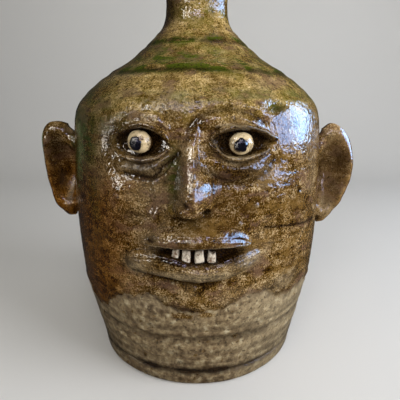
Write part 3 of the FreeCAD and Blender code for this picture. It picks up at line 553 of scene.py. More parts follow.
# %% The lips
roll_clay("upper_lip_roll", "upper_lip",
          [(-33.5, 97.4, 2.6, 1.4), (-27.0, 100.0, 3.8, 3.4), (-20.0, 102.2, 4.6, 5.4),
           (-11.0, 103.4, 5.0, 7.6), (-1.0, 103.9, 5.2, 8.8), (9.0, 103.8, 5.0, 8.2),
           (17.0, 102.2, 4.8, 6.6), (24.0, 99.8, 4.4, 4.6), (29.5, 96.8, 3.0, 2.2)],
          edges=(0.5, 1.0), lean=-0.3, grain=0.45, fine=(56, 128),
          lines=((-0.72, 0.12, 0.35), (0.35, 0.2, 0.5)))
roll_clay("lower_lip_roll", "lower_lip",
          [(-39.5, 85.2, 4.6, 1.0), (-35.5, 85.6, 6.6, 3.0), (-30.0, 86.4, 7.3, 4.6),
           (-24.0, 87.2, 7.2, 5.8), (-17.5, 87.0, 6.9, 6.6), (-11.5, 86.2, 6.5, 7.2),
           (-5.5, 84.6, 5.8, 7.6), (0.5, 83.6, 5.2, 7.8), (6.5, 83.6, 5.2, 7.6),
           (12.5, 84.6, 5.6, 7.2), (18.6, 86.4, 6.2, 6.4), (24.5, 88.2, 6.1, 5.2),
           (30.0, 90.0, 5.0, 3.4), (34.5, 91.2, 3.0, 1.4)], edges=(0.5, 0.7), lean=0.2,
          grain=0.5, blunt=4.0, fine=(64, 144),
          lines=((-0.45, 0.10, 0.4), (-0.1, 0.08, 0.3), (0.3, 0.1, 0.45), (0.62, 0.08, 0.5)))

# %% [markdown]
# ## The nose
#
# The nose is a wedge that stands up to 18 mm off the wall. A narrow bevel runs down the left
# of its crest and catches the light. Right of the crest the upper nose drops off sharply, and
# only low down there is a plain flank, with a finger's groove down its middle. Three small
# lumps round off the tip and the wings. Here a flat grid is the best start: it is laid on
# the wall and every vertex moves straight out by the height of the highest lump over it.
# Where two lumps meet, the height blends a little, as wet clay does. Last, the grid's edge
# is drawn back into the wall and closed.

# %% Model the nose
NOSE_RIDGE = smooth_line([  # height: crest, half width left, half width right, depth, edge
    (110.0, (-0.6, 8.0, 6.0, 0.0, 0.2)), (113.0, (-0.6, 10.0, 7.4, 3.0, 0.2)),
    (115.3, (-0.6, 11.0, 8.4, 11.0, 0.2)), (118.5, (-0.5, 11.4, 10.6, 15.8, 0.2)),
    (123.0, (-0.6, 11.2, 13.2, 18.0, 0.2)), (128.0, (-0.7, 10.6, 14.0, 17.0, 0.2)),
    (132.5, (-0.5, 10.0, 11.8, 14.6, 0.22)), (136.0, (-0.6, 9.4, 10.6, 12.4, 0.45)),
    (142.0, (-0.9, 8.8, 8.4, 9.4, 0.66)), (148.0, (-1.0, 7.6, 7.0, 6.2, 0.66)),
    (154.0, (0.2, 6.0, 5.6, 3.2, 0.5)), (159.0, (0.8, 5.0, 4.6, 1.0, 0.4)),
    (162.0, (1.0, 4.0, 3.6, 0.0, 0.3))])
NOSE_LUMPS = [  # across, height, half width, half height, depth
    (-9.8, 118.0, 4.6, 4.8, 8.4), (4.9, 118.0, 3.8, 4.8, 8.0), (-3.2, 119.6, 8.2, 5.4, 17.6)]
NOSE_PITS = [(4.6, 116.6, 2.3, 6.0), (-8.0, 115.6, 1.6, 3.0), (-3.9, 122.9, 1.0, 1.4)]
BEVEL, BEVEL_WIDTH = 0.27, 3.0


def nose_height(across, height):
    crest, left_half, right_half, depth, edge = NOSE_RIDGE(height)
    if across < crest:
        far = min((crest - across) / left_half, 1.0)
        bevel = min((crest - across) / BEVEL_WIDTH, 1.0) * min(BEVEL * BEVEL_WIDTH, depth)
        past = max(crest - across - BEVEL_WIDTH, 0.0) / max(left_half - BEVEL_WIDTH, 0.1)
        flank = (depth - bevel) * (1 - min(past, 1.0))
    else:
        far = min((across - crest) / right_half, 1.0)
        flank = depth * (1 - edge * far / 0.25 if far < 0.25
                         else (1 - edge) * (1 - (far - 0.25) / 0.75))
    heights = [-SINK, flank - SINK * far]
    for lump_x, lump_z, half_x, half_z, lump_depth in NOSE_LUMPS:
        far = ((across - lump_x) / half_x) ** 2 + ((height - lump_z) / half_z) ** 2
        heights.append(lump_depth * (1 - min(far, 1.0)) ** 0.5 - SINK * min(far, 1.0))
    blend = math.log(sum(math.exp(h * 1.6) for h in heights)) / 1.6 - 0.35
    for pit_x, pit_z, reach, pit_depth in NOSE_PITS:
        blend -= pit_depth * bell(math.hypot(across - pit_x, height - pit_z), reach * 1.5)
    return max(blend, -SINK)


sculptor = bmesh.new()
bmesh.ops.create_grid(sculptor, x_segments=96, y_segments=120, size=1.0)
for vert in sculptor.verts:
    across, height = -3.0 + vert.co.x * 19.0, 135.5 + vert.co.y * 26.0
    out = nose_height(across, height)
    out += 0.3 * noise.noise(Vector((across, height, 0)) / 5.0)
    out -= 1.0 * bell(across - 8.0, 1.3) * bell(height - 129.0, 9.0)
    vert.co = wall_point(across, height, out) * MM
rim = [edge for edge in sculptor.edges if edge.is_boundary]
sunk = bmesh.ops.extrude_edge_only(sculptor, edges=rim)["geom"]
for vert in (part for part in sunk if isinstance(part, bmesh.types.BMVert)):
    vert.co *= 0.985
back = [part for part in sunk if isinstance(part, bmesh.types.BMEdge)]
bmesh.ops.holes_fill(sculptor, edges=back, sides=0)
hand_in("modelled_nose", sculptor, "nose")

# %% [markdown]
# ## Eyes and teeth
#
# The eyeballs are balls of pale clay, a little flattened by the thumb that pushed them in.
# An attribute named `stain_and_shade` marks a ring round the pupil, its brown iris colour, and
# the ball's own edge, darkened as painted shade.
# The pupils are dabs of dark slip that stand up as low domes. A ball is a sphere with a few
# formulas, which is enough, because their look comes from the glaze.

# %% Eyeballs and pupils
EYES = {"left": (-27.0, 149.9, 0.2, -0.7), "right": (21.5, 149.2, -2.2, -0.7)}


def ball(name, node, middle, aside, forward, half_sizes, lumps, fine):
    """A slightly lumpy ball, turned so that its third axis looks forward."""
    roller = bmesh.new()
    bmesh.ops.create_uvsphere(roller, u_segments=fine, v_segments=fine // 2, radius=1.0)
    up = Vector((0, 0, 1))
    for vert in roller.verts:
        wobble = 1 + lumps * noise.noise(vert.co * 1.7 + middle)
        vert.co = (middle + (aside * (vert.co.x * half_sizes[0])
                             + up * (vert.co.y * half_sizes[1])
                             + forward * (vert.co.z * half_sizes[2])) * wobble) * MM
    return hand_in(name, roller, node)


for side, (across, height, pupil_aside, pupil_up) in EYES.items():
    forward = out_of_wall(across, height)
    aside = Vector((0, 0, 1)).cross(forward)
    middle = wall_point(across, height, 0.0) + forward * 4.1
    eyeball = ball(f"{side}_ball", f"{side}_eyeball", middle, aside, forward,
                   (6.3, 5.7, 5.6), 0.06, 80)
    look = (forward + aside * (pupil_aside / 6.0) + Vector((0, 0, 1)) * (pupil_up / 6.0))
    look.normalize()
    # The ring round the pupil is brown iris colour; the ball's edge, where it turns into the
    # socket, is darkened as painted shade.
    stain_and_shade = eyeball.data.attributes.new("stain_and_shade", "FLOAT", "POINT")
    for number, vert in enumerate(eyeball.data.vertices):
        away = (vert.co / MM - middle).normalized()
        inner, outer = away.dot(look), away.dot(forward)
        stain_and_shade.data[number].value = max(0.4 * bell(inner - 0.8, 0.12),
                                       1 - step(outer - 0.15, 0.3))
    ball(f"{side}_pupil_dab", f"{side}_pupil", middle + look * 4.7,
         Vector((0, 0, 1)).cross(look).normalized(), look, (3.2, 3.4, 2.0), 0.14, 48)

# %% [markdown]
# Each tooth is a chip cut from a slab of white clay. A cube is subdivided and bevelled, and
# its corners are drawn in and shifted, because no chip is the same as the next. The fourth
# one was nicked on top, so the middle of its upper edge is pressed down.

# %% Teeth
TEETH = [  # across, middle height, half width, half height, lean in degrees, nick
    (-10.3, 93.8, 1.75, 2.8, -8, 0.0), (-4.9, 93.0, 2.2, 3.3, -3, 0.0),
    (1.6, 92.9, 2.3, 3.4, 2, 0.0), (7.8, 92.6, 2.1, 3.2, -2, 1.4)]


def cut_tooth(number, across, height, half_width, half_height, lean, nick):
    cutter = bmesh.new()
    bmesh.ops.create_cube(cutter, size=2.0)
    bmesh.ops.bevel(cutter, geom=cutter.edges[:], offset=0.32, offset_type="OFFSET",
                    segments=3, profile=0.5, affect="EDGES", material=-1)
    bmesh.ops.subdivide_edges(cutter, edges=cutter.edges[:], cuts=4, use_grid_fill=True)
    forward = out_of_wall(across, height)
    aside = Vector((0, 0, 1)).cross(forward)
    tilt = Matrix.Rotation(math.radians(lean), 4, forward)
    middle = wall_point(across, height, 1.2)
    for vert in cutter.verts:
        x, y, z = vert.co
        wide = half_width * (1 - 0.10 * z) * x
        high = half_height * z + 0.35 * x * (number % 2)
        high -= nick * bell(x - 0.15, 1.1) ** 0.5 * step(z - 0.4, 0.8)
        deep = 2.5 * y - 0.35 * x * x + 0.3 * noise.noise(Vector((x, z, number)) * 1.3)
        place = aside * wide + Vector((0, 0, high)) + forward * deep
        place += Vector((noise.noise(vert.co * 1.6 + Vector((number, 0, 0))), 0, 0)) * 0.22
        vert.co = (middle + tilt @ place) * MM
    return hand_in(f"tooth_chip_{number}", cutter, f"tooth_{number}")


for number, tooth in enumerate(TEETH, start=1):
    cut_tooth(number, *tooth)

# %% [markdown]
# ## Mixing the glaze
#
# All colours are written as sRGB hex values, the way a paint chart gives them, and one
# function turns them into the linear values that Blender mixes. A second function adds a
# node, sets its properties and fills its inputs, either with numbers or with the outputs of
# other nodes.

# %% Colour and node helpers


def colour(code):
    """An sRGB hex value as linear red, green, blue and alpha."""
    channels = [int(code[start:start + 2], 16) / 255 for start in (1, 3, 5)]
    linear = [c / 12.92 if c <= 0.04045 else ((c + 0.055) / 1.055) ** 2.4 for c in channels]
    return (*linear, 1.0)


def add(tree, kind, inputs=None, **settings):
    """Adds a node. Its inputs are named or numbered, with values or other nodes' outputs."""
    node = tree.nodes.new(kind)
    for key, value in settings.items():
        setattr(node, key, value)
    for key, value in (inputs or {}).items():
        if isinstance(value, bpy.types.NodeSocket):
            tree.links.new(value, node.inputs[key])
        else:
            node.inputs[key].default_value = value
    return node


def ramp_colours(node, stops):
    """Fills a colour ramp with (place, colour) stops."""
    elements = node.color_ramp.elements
    while len(elements) < len(stops):
        elements.new(0.5)
    for element, (place, value) in zip(elements, stops):
        element.position = place
        element.color = value if isinstance(value, tuple) else colour(value)


print("mid brown, linear:", [round(c, 3) for c in colour("#6b5230")])

# %% [markdown]
# Where the glaze is thick, thin, green or missing isn't chance. It pools dark in the rings
# and at its lower edge, runs green down the temples and along the rings, goes grey where it
# is thin, and stops above the foot. Painted shade darkens the sockets, the mouth, the pits and
# creases and the jug's left side, and painted highlights lighten the lid rims, a few dots and
# the right ear. Those places are known from the shapes, so they are worked out for every
# vertex and stored in a colour attribute named `glaze`: red is pooled glaze and painted
# shade, green is green, blue is thin and grey glaze and painted highlights, and alpha is bare
# clay and the right lobe, painted pale as a sheen. A second attribute, `dry`, marks where ash
# lay thick and the glass is duller.

# %% Where the glaze is thick, green, thin or missing, and where shade and highlights are painted
# Dark spots. Most are painted shade: in the eye sockets and the right eye's outer corner, the
# mouth, the nostril and the pits, the groove on the nose, under the nose and under the lower lip,
# and over the jug's left side. The others darken the glaze on the left upper lid, the bags, the
# right temple and the nose's left flank.
POOLS_AND_SHADE = [  # across, height, half width, half height, strength
    (-26.5, 149.6, 16.5, 9.0, 4.0), (21.5, 150.0, 18.0, 8.6, 4.0), (34.0, 150.8, 6.0, 3.0, 1.0),
    (38.6, 150.6, 1.8, 1.5, 1.5),
    (-25.0, 156.4, 16.0, 4.0, 0.8), (22.0, 136.5, 18.0, 8.0, 0.8), (-24.0, 139.0, 16.0, 7.0, 0.7),
    (1.0, 93.4, 29.0, 7.0, 3.0), (43.0, 165.0, 7.0, 4.0, 0.7), (-4.0, 113.0, 15.0, 4.5, 0.7),
    (4.6, 117.2, 3.0, 3.6, 1.0),
    (-3.9, 122.9, 2.2, 2.0, 1.0), (8.0, 129.0, 1.3, 9.0, 1.0), (-22.5, 100.8, 5.0, 2.0, 0.9),
    (-8.0, 131.0, 5.0, 20.0, 0.5),
    (0.0, 76.2, 24.0, 2.4, 0.6), (-60.0, 98.0, 26.0, 48.0, 0.42), (-52.0, 62.0, 14.0, 12.0, 0.4),
]
GREENS = [
    (-60.0, 150.0, 14.0, 26.0, 1.1), (-76.0, 138.0, 13.0, 40.0, 1.3),
    (-44.0, 160.0, 16.0, 12.0, 0.9),
    (-57.0, 120.0, 7.0, 30.0, 0.5), (-11.0, 134.0, 6.0, 22.0, 1.0), (41.0, 166.0, 9.0, 5.0, 1.0),
    (-58.0, 172.0, 18.0, 12.0, 0.9), (54.0, 173.0, 16.0, 7.0, 0.8),
]
GREYS = [
    (-28.0, 138.0, 17.0, 6.5, 0.6), (-32.0, 84.5, 13.0, 9.5, 0.9), (0.0, 82.4, 40.0, 6.0, 1.0),
    (-24.0, 60.0, 30.0, 7.0, 0.4), (27.0, 88.0, 14.0, 8.0, 0.9), (-51.0, 150.0, 7.0, 14.0, 0.25),
    (-30.0, 112.0, 12.0, 9.0, 0.3), (50.0, 68.0, 20.0, 10.0, 0.6), (-20.0, 66.0, 14.0, 5.0, 0.5),
]
SHOULDER_GREENS = [(172.0, 6.0, 0.6), (186.5, 4.6, 1.8), (192.5, 6.0, 1.2), (198.5, 4.6, 0.9),
                   (204.0, 3.6, 1.6), (222.0, 6.0, 0.5)]
DRY = [  # where the ash lay thick and dry and the glass is duller
    (-12.0, 170.0, 40.0, 11.0, 0.9), (-66.0, 160.0, 15.0, 13.0, 1.0),
    (-46.0, 157.0, 8.0, 13.0, 0.5),
    (-27.0, 163.0, 18.0, 6.0, 0.7)]
# Painted shade in the ears' hollows and in the holes at their roots.
EAR_HOLLOW_SHADE = [  # seen from the front: x, z, half width, half height, strength
    (-97.0, 141.0, 9.0, 21.0, 0.65), (-97.0, 116.0, 5.0, 15.0, 0.7), (-86.0, 95.0, 5.0, 5.0, 0.8),
    (101.0, 132.0, 9.0, 16.0, 0.5), (98.0, 112.0, 6.0, 9.0, 0.4), (84.0, 89.0, 4.0, 5.0, 1.0)]
# Paler patches on the ears, the one on the right ear's top a painted highlight; the right lobe is
# painted pale as a sheen.
EAR_GREYS = [(-91.0, 107.0, 4.0, 13.0, 0.75), (90.0, 148.0, 8.0, 6.0, 0.4)]
LOBE = (91.5, 98.0, 8.0, 12.0)
LOW_RINGS = [(11.5, 5.6, 1.0), (37.5, 4.6, 0.5), (27.0, 3.4, 0.3), (19.0, 3.0, 0.4),
             (46.0, 3.2, 0.3), (2.0, 6.0, 0.4)]
ISLANDS = [(-9.0, 55.4, 9.0, 3.4, 1.1), (5.0, 56.0, 7.0, 2.8, 1.0)]
CRACK = ((36.0, 104.8), (72.0, 99.6))


def spots(across, height, places):
    return max(strength * bell(math.hypot((across - x) / half_x, (height - z) / half_z), 1.0)
               for x, z, half_x, half_z, strength in places)


def paint(piece):
    """Stores the masks of the glaze on every vertex of a piece."""
    mesh = piece.data
    mesh.attributes.new("glaze", "FLOAT_COLOR", "POINT")
    mesh.attributes.new("dry", "FLOAT", "POINT")
    layer, dullness = mesh.attributes["glaze"], mesh.attributes["dry"]
    for number, vert in enumerate(mesh.vertices):
        x, y, z = vert.co / MM
        turn = math.atan2(x, -y)
        degrees = math.degrees(turn)
        # The jug's left side, away from the light, is darkened as painted shade, and made
        # greener.
        deep = step(-degrees - 40, 40) * step(160 + degrees, 40) * step(92 - abs(x), 8)
        pooled_and_shade, green = 0.5 * deep, 0.9 * deep * bell(z - 158, 34)
        grey = dry = lobe_sheen = 0.0
        # On the ears, painted shade darkens the hollows and the right lobe is painted pale as a
        # sheen.
        if abs(x) > 85:
            pooled_and_shade = max(0.3 * pooled_and_shade, spots(x, z, EAR_HOLLOW_SHADE))
            green, grey = 0.0, spots(x, z, EAR_GREYS)
            lobe_sheen = spots(x, z, [(*LOBE, 0.5)])
        elif y < 0:
            x = wall_line(z) * math.sin(turn)
            # Dark spots and folds are painted shade; pale folds are painted highlights, laid on
            # with the grey mask.
            fold_dark, fold_pale = folds_at(x, z)[1:] if z > 70 else (0.0, 0.0)
            pooled_and_shade = min(max(pooled_and_shade, spots(x, z, POOLS_AND_SHADE), fold_dark), 1.0) * (1 - fold_pale)
            green = max(green, spots(x, z, GREENS))
            grey = max(spots(x, z, GREYS), fold_pale)
            dry = min(spots(x, z, DRY), 1.0)
            line = CRACK[0][1] + (x - CRACK[0][0]) * (CRACK[1][1] - CRACK[0][1]) / (
                CRACK[1][0] - CRACK[0][0])
            if CRACK[0][0] < x < CRACK[1][0]:
                pooled_and_shade = max(pooled_and_shade, bell(z - line - 0.5 * wander(turn, z, 12.0, 2.0), 1.5))
        if z > 165:
            patches = step(wander(turn, z, 13.0, 1.0) + 0.12, 0.5)
            for ring, reach, strength in SHOULDER_GREENS:
                wave = wander(turn, ring, 22.0, ring)
                near = bell(z - ring - 2.0 * wave, reach)
                green = max(green, strength * near * (0.35 + 0.65 * patches))
            for ring in (185.0, 203.5):
                if abs(z - ring) < 5:
                    rise = z - ring - 0.9 * wander(turn, ring, 40.0, ring)
                    pooled_and_shade = max(pooled_and_shade, (0.65 + 0.5 * wander(turn, ring, 14.0, 2.0))
                                 * bell(rise, 2.2))
        # Painted shade on the left of the neck.
        if z > 208:
            pooled_and_shade = max(pooled_and_shade, 0.8 * bell(degrees + 58, 46) * step(z - 213, 10))
        bare_and_lobe_sheen = 0.0
        if z < 75:
            edge = z - glaze_edge(turn)
            soft = 1.6 + 4.0 * step(degrees - 20, 40)
            bare_and_lobe_sheen = 1 - step(edge, soft)
            island = spots(x, z, ISLANDS) + 0.6 * wander(turn, z, 3.0, 6.0) if y < 0 else 0.0
            bare_and_lobe_sheen *= 1 - step(island - 0.4, 0.3)
            pooled_and_shade = pooled_and_shade * (1 - bare_and_lobe_sheen)
            outline = step(wander(turn, 0.0, 14.0, 21.0) + 0.1, 0.5)
            pooled_and_shade = max(pooled_and_shade, (0.75 - 0.5 * step(degrees - 20, 40)) * (0.35 + 0.65 * outline)
                         * bell(edge - 1.2, 3.2))
            for ring, reach, depth in LOW_RINGS:
                if abs(z - ring) < 7:
                    rise = z - ring - 0.9 * wander(turn, ring, 40.0, ring)
                    pooled_and_shade = max(pooled_and_shade, depth * (1 + 0.7 * wander(turn, ring, 16.0, 4.0))
                                 * bell(rise, reach))
        layer.data[number].color = (pooled_and_shade, green, grey, max(bare_and_lobe_sheen, lobe_sheen))
        dullness.data[number].value = dry
    mesh.attributes.active_color = layer


GLAZED = [piece for name, piece in PIECES.items() if "ball" not in name and "pupil" not in name
          and "tooth" not in name]
for piece in GLAZED:
    paint(piece)
print("painted:", len(GLAZED), "pieces")

# %% [markdown]
# ### The ash glaze
#
# The real finish is a runny ash glaze over iron-bearing stoneware, fired until it flowed. It
# is a glass, so it is smooth and sharp in its reflections, and the colour lies under it in
# grains of about a millimetre: dark iron specks, ochre flecks and a few pale crystals. Ten
# noises make it, from 0.8 mm for the grain and 5 mm for the mottling to 26 mm for the
# clouds. Those of the streaks and the runs are squeezed along one direction. Their
# coordinates are the object's own in millimetres, so the grain runs on without a
# break from the wall over the lips and lids.

# %% Runny ash glaze


def grain_noise(tree, coordinates, size, detail=3.0, rough=0.6, seed=0.0, squeeze=None):
    """Noise with features of about `size` mm. squeeze scales each axis first."""
    vector = coordinates
    if squeeze:
        vector = add(tree, "ShaderNodeMapping",
                     {"Vector": coordinates, "Scale": squeeze}).outputs["Vector"]
    return add(tree, "ShaderNodeTexNoise",
               {"Vector": vector, "W": seed, "Scale": 1.0 / size, "Detail": detail,
                "Roughness": rough}, noise_dimensions="4D").outputs["Fac"]


def mix_colour(tree, factor, low, high, blend="MIX"):
    node = add(tree, "ShaderNodeMix", {0: factor, 6: low, 7: high}, data_type="RGBA",
               blend_type=blend)
    return node.outputs[2]


def spread(tree, value, low, high, to_low=0.0, to_high=1.0):
    return add(tree, "ShaderNodeMapRange",
               {"Value": value, "From Min": low, "From Max": high, "To Min": to_low,
                "To Max": to_high}, interpolation_type="SMOOTHSTEP").outputs["Result"]


def maths(tree, operation, first, second=0.0):
    return add(tree, "ShaderNodeMath", {0: first, 1: second}, operation=operation).outputs[0]


def start_material(name):
    material = bpy.data.materials.new(name)
    material.use_nodes = True
    tree = material.node_tree
    tree.nodes.clear()
    place = add(tree, "ShaderNodeTexCoord").outputs["Object"]
    millimetres = add(tree, "ShaderNodeVectorMath", {0: place, "Scale": 1 / MM},
                      operation="SCALE").outputs[0]
    return material, tree, millimetres


def finish_material(tree, colour_socket, roughness, bump_layers, **settings):
    """bump_layers: (height socket, depth in mm) pairs, from the coarsest to the finest."""
    normal = None
    for height, depth in bump_layers:
        inputs = {"Height": height, "Distance": depth * MM, "Strength": 1.0}
        if normal is not None:
            inputs["Normal"] = normal
        normal = add(tree, "ShaderNodeBump", inputs).outputs["Normal"]
    shader = add(tree, "ShaderNodeBsdfPrincipled",
                 {"Base Color": colour_socket, "Roughness": roughness, "Normal": normal,
                  **settings})
    add(tree, "ShaderNodeOutputMaterial", {"Surface": shader.outputs[0]})


def glaze_masks(tree):
    """The four stored masks: glaze pooling with painted shade, green, grey with painted
    highlights, and unglazed clay with the lobe's painted sheen.
    """
    masks = add(tree, "ShaderNodeAttribute", attribute_name="glaze")
    channels = add(tree, "ShaderNodeSeparateColor", {0: masks.outputs["Color"]}).outputs
    return channels[0], channels[1], channels[2], masks.outputs["Alpha"]


def flecks(tree, mm, size, seed, share):
    """Small patches that cover a share of the surface, each one crisp at its edge."""
    noise_value = grain_noise(tree, mm, size, 1.0, 0.5, seed)
    return spread(tree, noise_value, 0.5 + share, 0.56 + share)


def mix_ash_glaze():
    material, tree, mm = start_material("runny_ash_glaze")
    place = add(tree, "ShaderNodeSeparateXYZ", {0: mm}).outputs
    pooled_and_shade, green, grey, bare_and_lobe_sheen = glaze_masks(tree)
    grain = grain_noise(tree, mm, 0.8, 2.0, 0.7)
    mottle = grain_noise(tree, mm, 5.0, 4.0, 0.65, 3.0)
    cloud = grain_noise(tree, mm, 26.0, 2.0, 0.5, 5.0)
    runs = grain_noise(tree, mm, 5.0, 3.0, 0.6, 8.0, squeeze=(1.0, 1.0, 0.16))
    streaks = grain_noise(tree, mm, 3.2, 3.0, 0.6, 9.0, squeeze=(0.28, 0.28, 1.0))
    wrinkles = grain_noise(tree, mm, 1.7, 3.0, 0.6, 4.0, squeeze=(0.3, 0.3, 1.0))
    pebbles = grain_noise(tree, mm, 2.0, 1.0, 0.5, 6.0)
    body = maths(tree, "ADD", maths(tree, "MULTIPLY", grain, 0.50),
                 maths(tree, "ADD", maths(tree, "MULTIPLY", mottle, 0.28),
                       maths(tree, "MULTIPLY", streaks, 0.22)))
    face = add(tree, "ShaderNodeValToRGB", {0: body})
    ramp_colours(face, [(0.405, "#190c01"), (0.455, "#3d2808"), (0.50, "#5e4519"),
                        (0.535, "#84693d"), (0.585, "#bda884")])
    crown = add(tree, "ShaderNodeValToRGB", {0: body})
    ramp_colours(crown, [(0.40, "#46360c"), (0.457, "#6f5a28"), (0.50, "#967e48"),
                         (0.55, "#bba168"), (0.61, "#dcc494")])
    dabs = grain_noise(tree, mm, 3.6, 2.0, 0.6, 14.0, squeeze=(1.0, 1.0, 0.8))
    foot = maths(tree, "ADD", maths(tree, "MULTIPLY", grain, 0.17),
                 maths(tree, "ADD", maths(tree, "MULTIPLY", dabs, 0.58),
                       maths(tree, "MULTIPLY", streaks, 0.25)))
    low = add(tree, "ShaderNodeValToRGB", {0: foot})
    ramp_colours(low, [(0.38, "#54422a"), (0.47, "#776347"), (0.55, "#96825f"),
                       (0.68, "#cbbd9c")])
    wavy_height = maths(tree, "ADD", place["Z"], maths(tree, "MULTIPLY", runs, 26.0))
    high = spread(tree, wavy_height, 168.0, 184.0)
    tone = mix_colour(tree, high, face.outputs[0], crown.outputs[0])
    deep = maths(tree, "MULTIPLY", spread(tree, cloud, 0.46, 0.66), 0.5)
    tone = mix_colour(tree, deep, tone, colour("#3f2a12"))
    dusty = maths(tree, "MULTIPLY", spread(tree, cloud, 0.48, 0.34), 0.4)
    tone = mix_colour(tree, dusty, tone, colour("#85745a"))
    hues = grain_noise(tree, mm, 11.0, 3.0, 0.6, 17.0, squeeze=(0.7, 0.7, 1.3))
    mauve = maths(tree, "MULTIPLY", spread(tree, hues, 0.47, 0.36), 0.6)
    tone = mix_colour(tree, mauve, tone, colour("#6f5646"))
    runny = mix_colour(tree, high, colour("#7d6131"), colour("#625a1c"))
    tone = mix_colour(tree, maths(tree, "MULTIPLY", spread(tree, hues, 0.53, 0.64), 0.5), tone,
                      runny)
    # A faint warm tint all over, and a stronger one darkening the lower left of the face: painted
    # shade on the side away from the light, partly the glaze's own warm colour.
    amber_and_shade = maths(tree, "MULTIPLY", spread(tree, place["X"], -22.0, -58.0),
                  spread(tree, place["Z"], 150.0, 110.0))
    tone = mix_colour(tree, maths(tree, "ADD", maths(tree, "MULTIPLY", amber_and_shade, 0.75), 0.1), tone,
                      colour("#ffcc66"), blend="MULTIPLY")
    # Painted light: the right ear is made paler where the light falls on it.
    lit_ear = spread(tree, place["X"], 84.0, 94.0)
    tone = mix_colour(tree, maths(tree, "MULTIPLY", lit_ear, 0.2), tone, colour("#c09a68"))
    greenish = maths(tree, "MULTIPLY", green, spread(tree, streaks, 0.38, 0.56))
    leafy = mix_colour(tree, spread(tree, place["Z"], 162.0, 178.0), colour("#36400a"),
                       colour("#475010"))
    tone = mix_colour(tree, maths(tree, "MULTIPLY", greenish, 0.92), tone, leafy)
    # The grey mask mixes in a pale tone: thin glaze, and painted highlights on the lid rims, the
    # glints and the right ear's top.
    thin_and_highlight_tone = mix_colour(tree, spread(tree, body, 0.39, 0.62), colour("#4a3a22"), colour("#a59068"))
    tone = mix_colour(tree, maths(tree, "MULTIPLY", grey, 0.85), tone, thin_and_highlight_tone)
    sandy = maths(tree, "MULTIPLY", spread(tree, place["X"], 5.0, 60.0), 0.4)
    foot_tone = mix_colour(tree, sandy, low.outputs[0], colour("#a89878"))
    # Bare clay below the glaze; the same mix paints the right ear's lobe pale as a sheen.
    tone = mix_colour(tree, bare_and_lobe_sheen, tone, foot_tone)
    tone = mix_colour(tree, maths(tree, "MULTIPLY", flecks(tree, mm, 1.4, 12.0, 0.10), 0.55),
                      tone, colour("#140b03"))
    # Pooled glaze and painted shade: this dark tone goes into the sockets, the mouth, the pits,
    # the creases and the jug's left side.
    dark = mix_colour(tree, spread(tree, grain, 0.4, 0.66), colour("#0a0401"),
                      colour("#33200c"))
    tone = mix_colour(tree, maths(tree, "MINIMUM", pooled_and_shade, 0.95), tone, dark)
    dry = add(tree, "ShaderNodeAttribute", attribute_name="dry").outputs["Fac"]
    ragged = maths(tree, "MULTIPLY", dry, spread(tree, mottle, 0.40, 0.48, 0.25, 1.0))
    satin = maths(tree, "ADD", maths(tree, "MULTIPLY", bare_and_lobe_sheen, 0.26),
                  maths(tree, "MULTIPLY", grey, 0.5))
    satin = maths(tree, "ADD", satin, maths(tree, "MULTIPLY", ragged, 0.4))
    gloss = maths(tree, "ADD", spread(tree, mottle, 0.3, 0.7, 0.03, 0.1), satin)
    clay = maths(tree, "MULTIPLY", wrinkles, maths(tree, "ADD", grey, 0.1))
    finish_material(tree, tone, gloss,
                    [(mottle, 0.3), (clay, 0.8), (pebbles, 0.42), (grain, 0.07)], IOR=1.42)
    return material


ash_glaze = mix_ash_glaze()
for piece in GLAZED:
    piece.data.materials.append(ash_glaze)
print(ash_glaze.name, "on", len(GLAZED), "pieces")

# %% [markdown]
# ### Pale clay, dark slip and white clay
#
# The eyeballs are light clay under the same glass, creamy, with brown specks, a brown ring
# round the pupil and an edge darkened as painted shade. The pupils are blue-black slip, nearly
# mirror smooth. The teeth are white porcelain-like clay, stained by rust that ran down from
# the lip.

# %% Eye and tooth finishes


def mix_small(name, base, stain_and_shade, speck_size, stops, roughness, bump, stained=False):
    material, tree, mm = start_material(name)
    grain = grain_noise(tree, mm, speck_size, 4.0, 0.7, 2.0)
    broad = grain_noise(tree, mm, speck_size * 4, 2.0, 0.5, 6.0)
    amount = maths(tree, "ADD", maths(tree, "MULTIPLY", grain, 0.6),
                   maths(tree, "MULTIPLY", broad, 0.4))
    # On the eyeballs the attribute darkens a ring round the pupil, and the ball's edge as painted
    # shade.
    if stained:
        rim = add(tree, "ShaderNodeAttribute", attribute_name="stain_and_shade").outputs["Fac"]
        amount = maths(tree, "SUBTRACT", amount, maths(tree, "MULTIPLY", rim, 0.2))
    ramp = add(tree, "ShaderNodeValToRGB", {0: amount})
    ramp_colours(ramp, [(stops[0], stain_and_shade), (stops[1], base)])
    finish_material(tree, ramp.outputs[0], roughness, [(broad, bump), (grain, bump * 0.4)],
                    IOR=1.5)
    return material


pale_clay = mix_small("glazed_pale_clay", "#d6bf95", "#4a3216", 0.8, (0.36, 0.50), 0.06, 0.3,
                      stained=True)
dark_slip = mix_small("blue_black_slip", "#12111a", "#050303", 0.8, (0.40, 0.56), 0.08, 0.4)
white_clay = mix_small("stained_white_clay", "#e0d3be", "#6e523a", 1.0, (0.40, 0.53), 0.18, 0.3)
for name, piece in PIECES.items():
    if "pupil" in name:
        piece.data.materials.append(dark_slip)
    elif "ball" in name:
        piece.data.materials.append(pale_clay)
    elif "tooth" in name:
        piece.data.materials.append(white_clay)
print("finishes:", [material.name for material in bpy.data.materials])

# %% [markdown]
# ## Floor, light and camera
#
# A pale sheet, flat under the jug and swept up behind it, is both floor and backdrop. The
# glaze doesn't mirror it, because the photographed jug stood in a darker room.

# %% Floor and backdrop
FLOOR_END, SWEEP_RADIUS, SWEEP_WIDTH = 0.55, 0.4, 2.2

